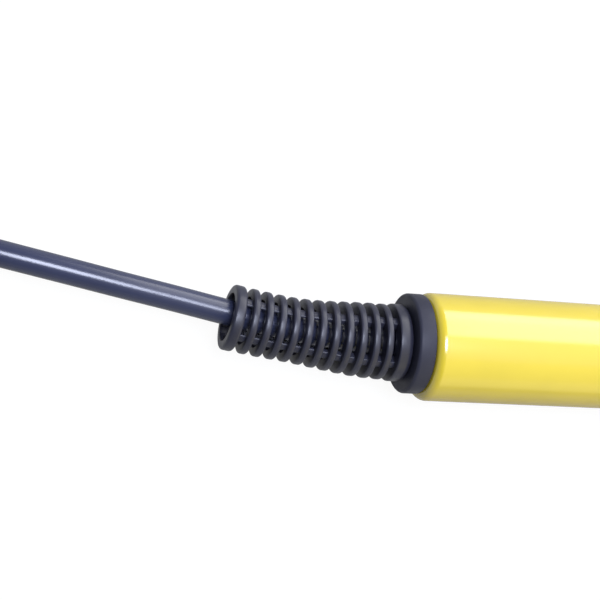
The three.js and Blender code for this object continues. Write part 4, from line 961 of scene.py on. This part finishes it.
def lens():
    low_z, high_z = low("led_lens").z, high("led_lens").z
    dome = 0.6 * MM
    dome_steps = 12
    profile = [(low_z, 0), (low_z, LENS_RADIUS)]
    for i in range(dome_steps + 1):
        a = math.pi / 2 * i / dome_steps
        profile.append((high_z - dome + dome * math.sin(a), LENS_RADIUS * math.cos(a)))
    profile[-1] = (high_z, 0)
    return turned("light_window", profile, 48, "Z", (LENS_X, 0, 0))


show(button(), "button", "button_rubber", mat["button"], "push_button")
show(bezel(), "root", "nose_plastic", mat["nose"], "button_bezel")
show(lens(), "root", "clear_lens", mat["lens"], "led_lens")

# ---------------------------------------------------------------- plug

PLUG_CENTRE = (0, HANK_SIDE, PLUG_AXIS)
PLUG_MOUTH = high("plug_shell").x


def plug_relief():
    """Short ribbed sleeve that widens towards the plug."""
    end = PLUG_REAR + 9 * MM
    neck_end = end + 3 * MM
    neck = 5 * MM
    bore = CABLE_RADIUS + CABLE_GAP
    rib_count = 3
    rib_pitch = 2.2 * MM
    rib_width = 0.9 * MM
    rib_depth = 0.8 * MM
    edge = 0.2 * MM
    corners = [(PLUG_REAR, bore, 0), (PLUG_REAR, 5.2 * MM, 0.4 * MM)]
    for i in range(rib_count):
        start = PLUG_REAR + 1.6 * MM + rib_pitch * i
        radius = (5.5 + 0.35 * i) * MM
        floor_radius = radius - rib_depth
        corners += [
            (start, radius, edge),
            (start, floor_radius, edge),
            (start + rib_width, floor_radius, edge),
            (start + rib_width, radius + 0.15 * MM, edge),
        ]
    corners += [
        (end, 6.6 * MM, 0.3 * MM), (end, neck, 0), (neck_end, neck, 0), (neck_end, bore, 0),
        (PLUG_REAR, bore, 0),
    ]
    return turned("plug_sleeve", rounded(corners, steps=3), 64, centre=PLUG_CENTRE)


def plug_backnut():
    """Rear nut with a groove and two spanner flats."""
    start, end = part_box("plug_backnut")[0].x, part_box("plug_backnut")[1].x
    outer = half_width("plug_backnut")
    thread = 6.4 * MM
    bore = 5.3 * MM
    groove_floor = outer - 0.5 * MM
    flat_length = 3 * MM
    step = low("plug_shell").x - FIT
    profile = rounded([
        (start, bore, 0),
        (start, outer, 1.4 * MM),
        (start + flat_length, outer, 0.2 * MM),
        (start + 3.4 * MM, groove_floor, 0.2 * MM),
        (start + 4.2 * MM, groove_floor, 0.2 * MM),
        (start + 4.6 * MM, outer, 0.2 * MM),
        (end, outer, 0.3 * MM),
        (end, thread, 0),
        (step, thread, 0),
        (step, bore, 0),
        (start, bore, 0),
    ])
    nut = turned("plug_nut", profile, 96, centre=PLUG_CENTRE)
    flats = []
    for side in (1, -1):
        sides = sorted((side * (outer - 0.7 * MM), side * outer * 2))
        a = (start - 1 * MM, HANK_SIDE + sides[0], PLUG_AXIS - outer)
        b = (start + flat_length, HANK_SIDE + sides[1], PLUG_AXIS + outer)
        flats.append(box_piece("cut", a, b))
    return boolean(nut, flats, "DIFFERENCE")


def plug_shell():
    start = low("plug_shell").x
    outer = half_width("plug_shell")
    thread = 6.1 * MM
    barrel = 6.7 * MM
    bore = 5.6 * MM
    inner = 5.3 * MM
    flange = high("plug_backnut").x + FIT
    flange_end = flange + 2.4 * MM
    seat = low("plug_insert").x - FIT
    profile = rounded([
        (start, inner, 0),
        (start, thread, 0.2 * MM),
        (flange, thread, 0),
        (flange, outer, 0.3 * MM),
        (flange_end, outer, 0.3 * MM),
        (flange_end, barrel, 0),
        (PLUG_MOUTH, barrel, 0.3 * MM),
        (PLUG_MOUTH, bore, 0.2 * MM),
        (seat, bore, 0),
        (seat, inner, 0),
        (start, inner, 0),
    ])
    return turned("plug_barrel", profile, 96, centre=PLUG_CENTRE)


def coupling_ring():
    """Screw ring with a straight knurl between two plain rims."""
    start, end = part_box("coupling_ring")[0].x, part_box("coupling_ring")[1].x
    outer = half_width("coupling_ring")
    inner = 7.0 * MM
    ridges = 40
    segments = ridges * 4
    rim = 1.6 * MM
    bevel = 0.5 * MM
    step = 0.3 * MM
    ridge_low, ridge_height = outer - 0.45 * MM, 0.4 * MM
    profile = [
        (start, inner),
        (start, outer - bevel),
        (start + bevel, outer),
        (start + rim, outer),
        (start + rim + step, outer - step),
        (end - rim - step, outer - step),
        (end - rim, outer),
        (end - bevel, outer),
        (end, outer - bevel),
        (end, inner),
        (start, inner),
    ]
    piece = turned("screw_ring", profile, segments)
    knurl_low, knurl_high = start + rim + 0.2 * MM, end - rim - 0.2 * MM
    for vertex in piece.data.vertices:
        x, y, z = vertex.co
        radius = math.hypot(y, z)
        if knurl_low < x < knurl_high and radius > inner + 1 * MM:
            angle = math.atan2(z, y)
            ridge = 0.5 + 0.5 * math.cos(angle * ridges)
            wanted = ridge_low + ridge_height * ridge
            vertex.co = (x, y * wanted / radius, z * wanted / radius)
    return move_mesh(piece, Matrix.Translation(PLUG_CENTRE))


sleeve_piece = show(plug_relief(), "root", "boot_rubber", mat["boot"], "plug_relief")
nut_piece = show(plug_backnut(), "root", "nickel", mat["nickel"], "plug_backnut")
barrel_piece = show(plug_shell(), "root", "nickel", mat["nickel"], "plug_shell")
ring_piece = show(coupling_ring(), "plug_ring", "nickel", mat["nickel"], "coupling_ring")

# ---------------------------------------------------------------- tie round the hank


def tie():
    """Strap wrapped round the three runs of the lead."""
    inner_y = HANK_SIDE + FOLD_RADIUS
    outer_y = inner_y + TURN_PITCH
    x_low, x_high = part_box("hank_tie")[0].x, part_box("hank_tie")[1].x
    gap = CABLE_RADIUS + TIE_GAP
    edge = 0.2 * MM
    top = gap + TIE_THICKNESS
    arc_steps = 12
    # Each corner that the strap goes round: its run's centre, and the arc in degrees.
    corners = [
        (inner_y, HANK_LOWER, 180, 270),
        (outer_y, HANK_LOWER, 270, 405),
        (inner_y, HANK_UPPER, 45, 180),
    ]
    section = [
        (x_low + edge, gap), (x_high - edge, gap), (x_high, gap + edge), (x_high, top - edge),
        (x_high - edge, top), (x_low + edge, top), (x_low, top - edge), (x_low, gap + edge),
    ]
    bm = bmesh.new()
    rows = []
    for x, radius in section:
        row = []
        for y, z, start, end in corners:
            for i in range(arc_steps + 1):
                a = math.radians(start + (end - start) * i / arc_steps)
                row.append(bm.verts.new((x, y + radius * math.cos(a), z + radius * math.sin(a))))
        rows.append(row)
    skin(bm, rows, closed=True)
    return from_bmesh("tie", bm)


tie_piece = show(tie(), "root", "tie_strap", mat["strap"], "hank_tie", angle=50)

# ---------------------------------------------------------------- floor and lights

FLOOR_DROP = 0.2 * MM  # below the probe, so that the two don't touch
FLOOR_BASE = 0.28
FLOOR_GLOW = 1.42
CAMERA_SHARE = 0.65  # how much of the plain white background the camera sees
MIRROR_SHARE = 0.2  # the same for reflections and for clear pieces
PANEL_DISTANCE = 0.9  # metres
WHITE = (1, 1, 1)
WARM = (1.0, 0.9, 0.5)
COOL = (0.76, 0.81, 1.0)

# Soft panels round the probe: name, first and last angle in degrees from straight up towards +Y,
# where they start and end along X in metres, radiance and colour.
PANELS = [
    ("key", 27, 66, 0.12, 1.3, 3.3, WHITE),
    ("key_edge", 66, 84, 0.12, 1.3, 3.7, WHITE),
    ("fill", -20, 27, 0.0, 1.1, 0.8, WHITE),
    ("low_fill", -84, -20, 0.0, 1.1, 0.95, WARM),
    ("strip", -3, 20, -0.32, 0.06, 18.0, COOL),
]


def background_share(nodes, links, camera_share, mirror_share):
    """A socket that says how much background a ray sees: none, for the light that the floor gives off."""
    rays = nodes.new("ShaderNodeLightPath")
    total = None
    for output, share in (("Is Camera Ray", camera_share), ("Is Glossy Ray", mirror_share),
                          ("Is Transmission Ray", mirror_share)):
        added = nodes.new("ShaderNodeMath")
        added.operation = "MULTIPLY_ADD"
        added.use_clamp = True
        added.inputs[1].default_value = share
        added.inputs[2].default_value = 0
        links.new(rays.outputs[output], added.inputs[0])
        if total:
            links.new(total, added.inputs[2])
        total = added.outputs["Value"]
    return total


def floor():
    """Pale floor that curves up into a low backdrop all round."""
    flat, bend, top = 2.8, 0.8, 1.8  # metres: flat radius, radius of the curve, height of the backdrop
    bend_steps = 12
    profile = [(0, 0), (0, flat)]
    for i in range(1, bend_steps + 1):
        a = math.pi / 2 * i / bend_steps
        profile.append((bend - bend * math.cos(a), flat + bend * math.sin(a)))
    profile.append((top, flat + bend))
    piece = turned("floor", profile, 96, "Z")
    piece.location.z = -FLOOR_DROP
    smooth(piece.data, 40)
    material = bpy.data.materials.new("white_floor")
    material.use_nodes = True
    nodes, links = material.node_tree.nodes, material.node_tree.links
    shader = nodes["Principled BSDF"]
    shader.inputs["Base Color"].default_value = (FLOOR_BASE, FLOOR_BASE, FLOOR_BASE, 1)
    shader.inputs["Roughness"].default_value = 0.9
    shader.inputs["Specular IOR Level"].default_value = 0.0
    glow = nodes.new("ShaderNodeEmission")
    glow.inputs["Strength"].default_value = FLOOR_GLOW
    mix = nodes.new("ShaderNodeMixShader")
    links.new(background_share(nodes, links, CAMERA_SHARE, MIRROR_SHARE), mix.inputs["Fac"])
    links.new(shader.outputs["BSDF"], mix.inputs[1])
    links.new(glow.outputs["Emission"], mix.inputs[2])
    links.new(mix.outputs["Shader"], nodes["Material Output"].inputs["Surface"])
    piece.data.materials.append(material)


def panel(name, start, end, x_start, x_end, radiance, color):
    """Area lamp along X that faces the probe and spans two angles round it."""
    first, last = math.radians(start), math.radians(end)
    low_edge = Vector((0, math.sin(first), math.cos(first))) * PANEL_DISTANCE
    high_edge = Vector((0, math.sin(last), math.cos(last))) * PANEL_DISTANCE
    centre = (low_edge + high_edge) / 2 + Vector(((x_start + x_end) / 2, 0, 0))
    across = (high_edge - low_edge).normalized()
    along = Vector((1, 0, 0))
    back = along.cross(across)
    if back.z < 0:
        along = -along
        back = -back
    data = bpy.data.lights.new(name, "AREA")
    data.shape = "RECTANGLE"
    data.size = x_end - x_start
    data.size_y = (high_edge - low_edge).length
    data.energy = radiance * math.pi * data.size * data.size_y
    data.color = color
    light = bpy.data.objects.new(name, data)
    bpy.context.scene.collection.objects.link(light)
    turn = Matrix((along, across, back)).transposed().to_4x4()
    light.matrix_world = Matrix.Translation(centre) @ turn


def world():
    scene_world = bpy.data.worlds.new("studio")
    bpy.context.scene.world = scene_world
    scene_world.use_nodes = True
    background = scene_world.node_tree.nodes["Background"]
    background.inputs["Color"].default_value = (0.9, 0.93, 1.0, 1)
    background.inputs["Strength"].default_value = 0.08


floor()
world()
for settings in PANELS:
    panel(*settings)

bpy.context.scene.view_settings.view_transform = "Standard"
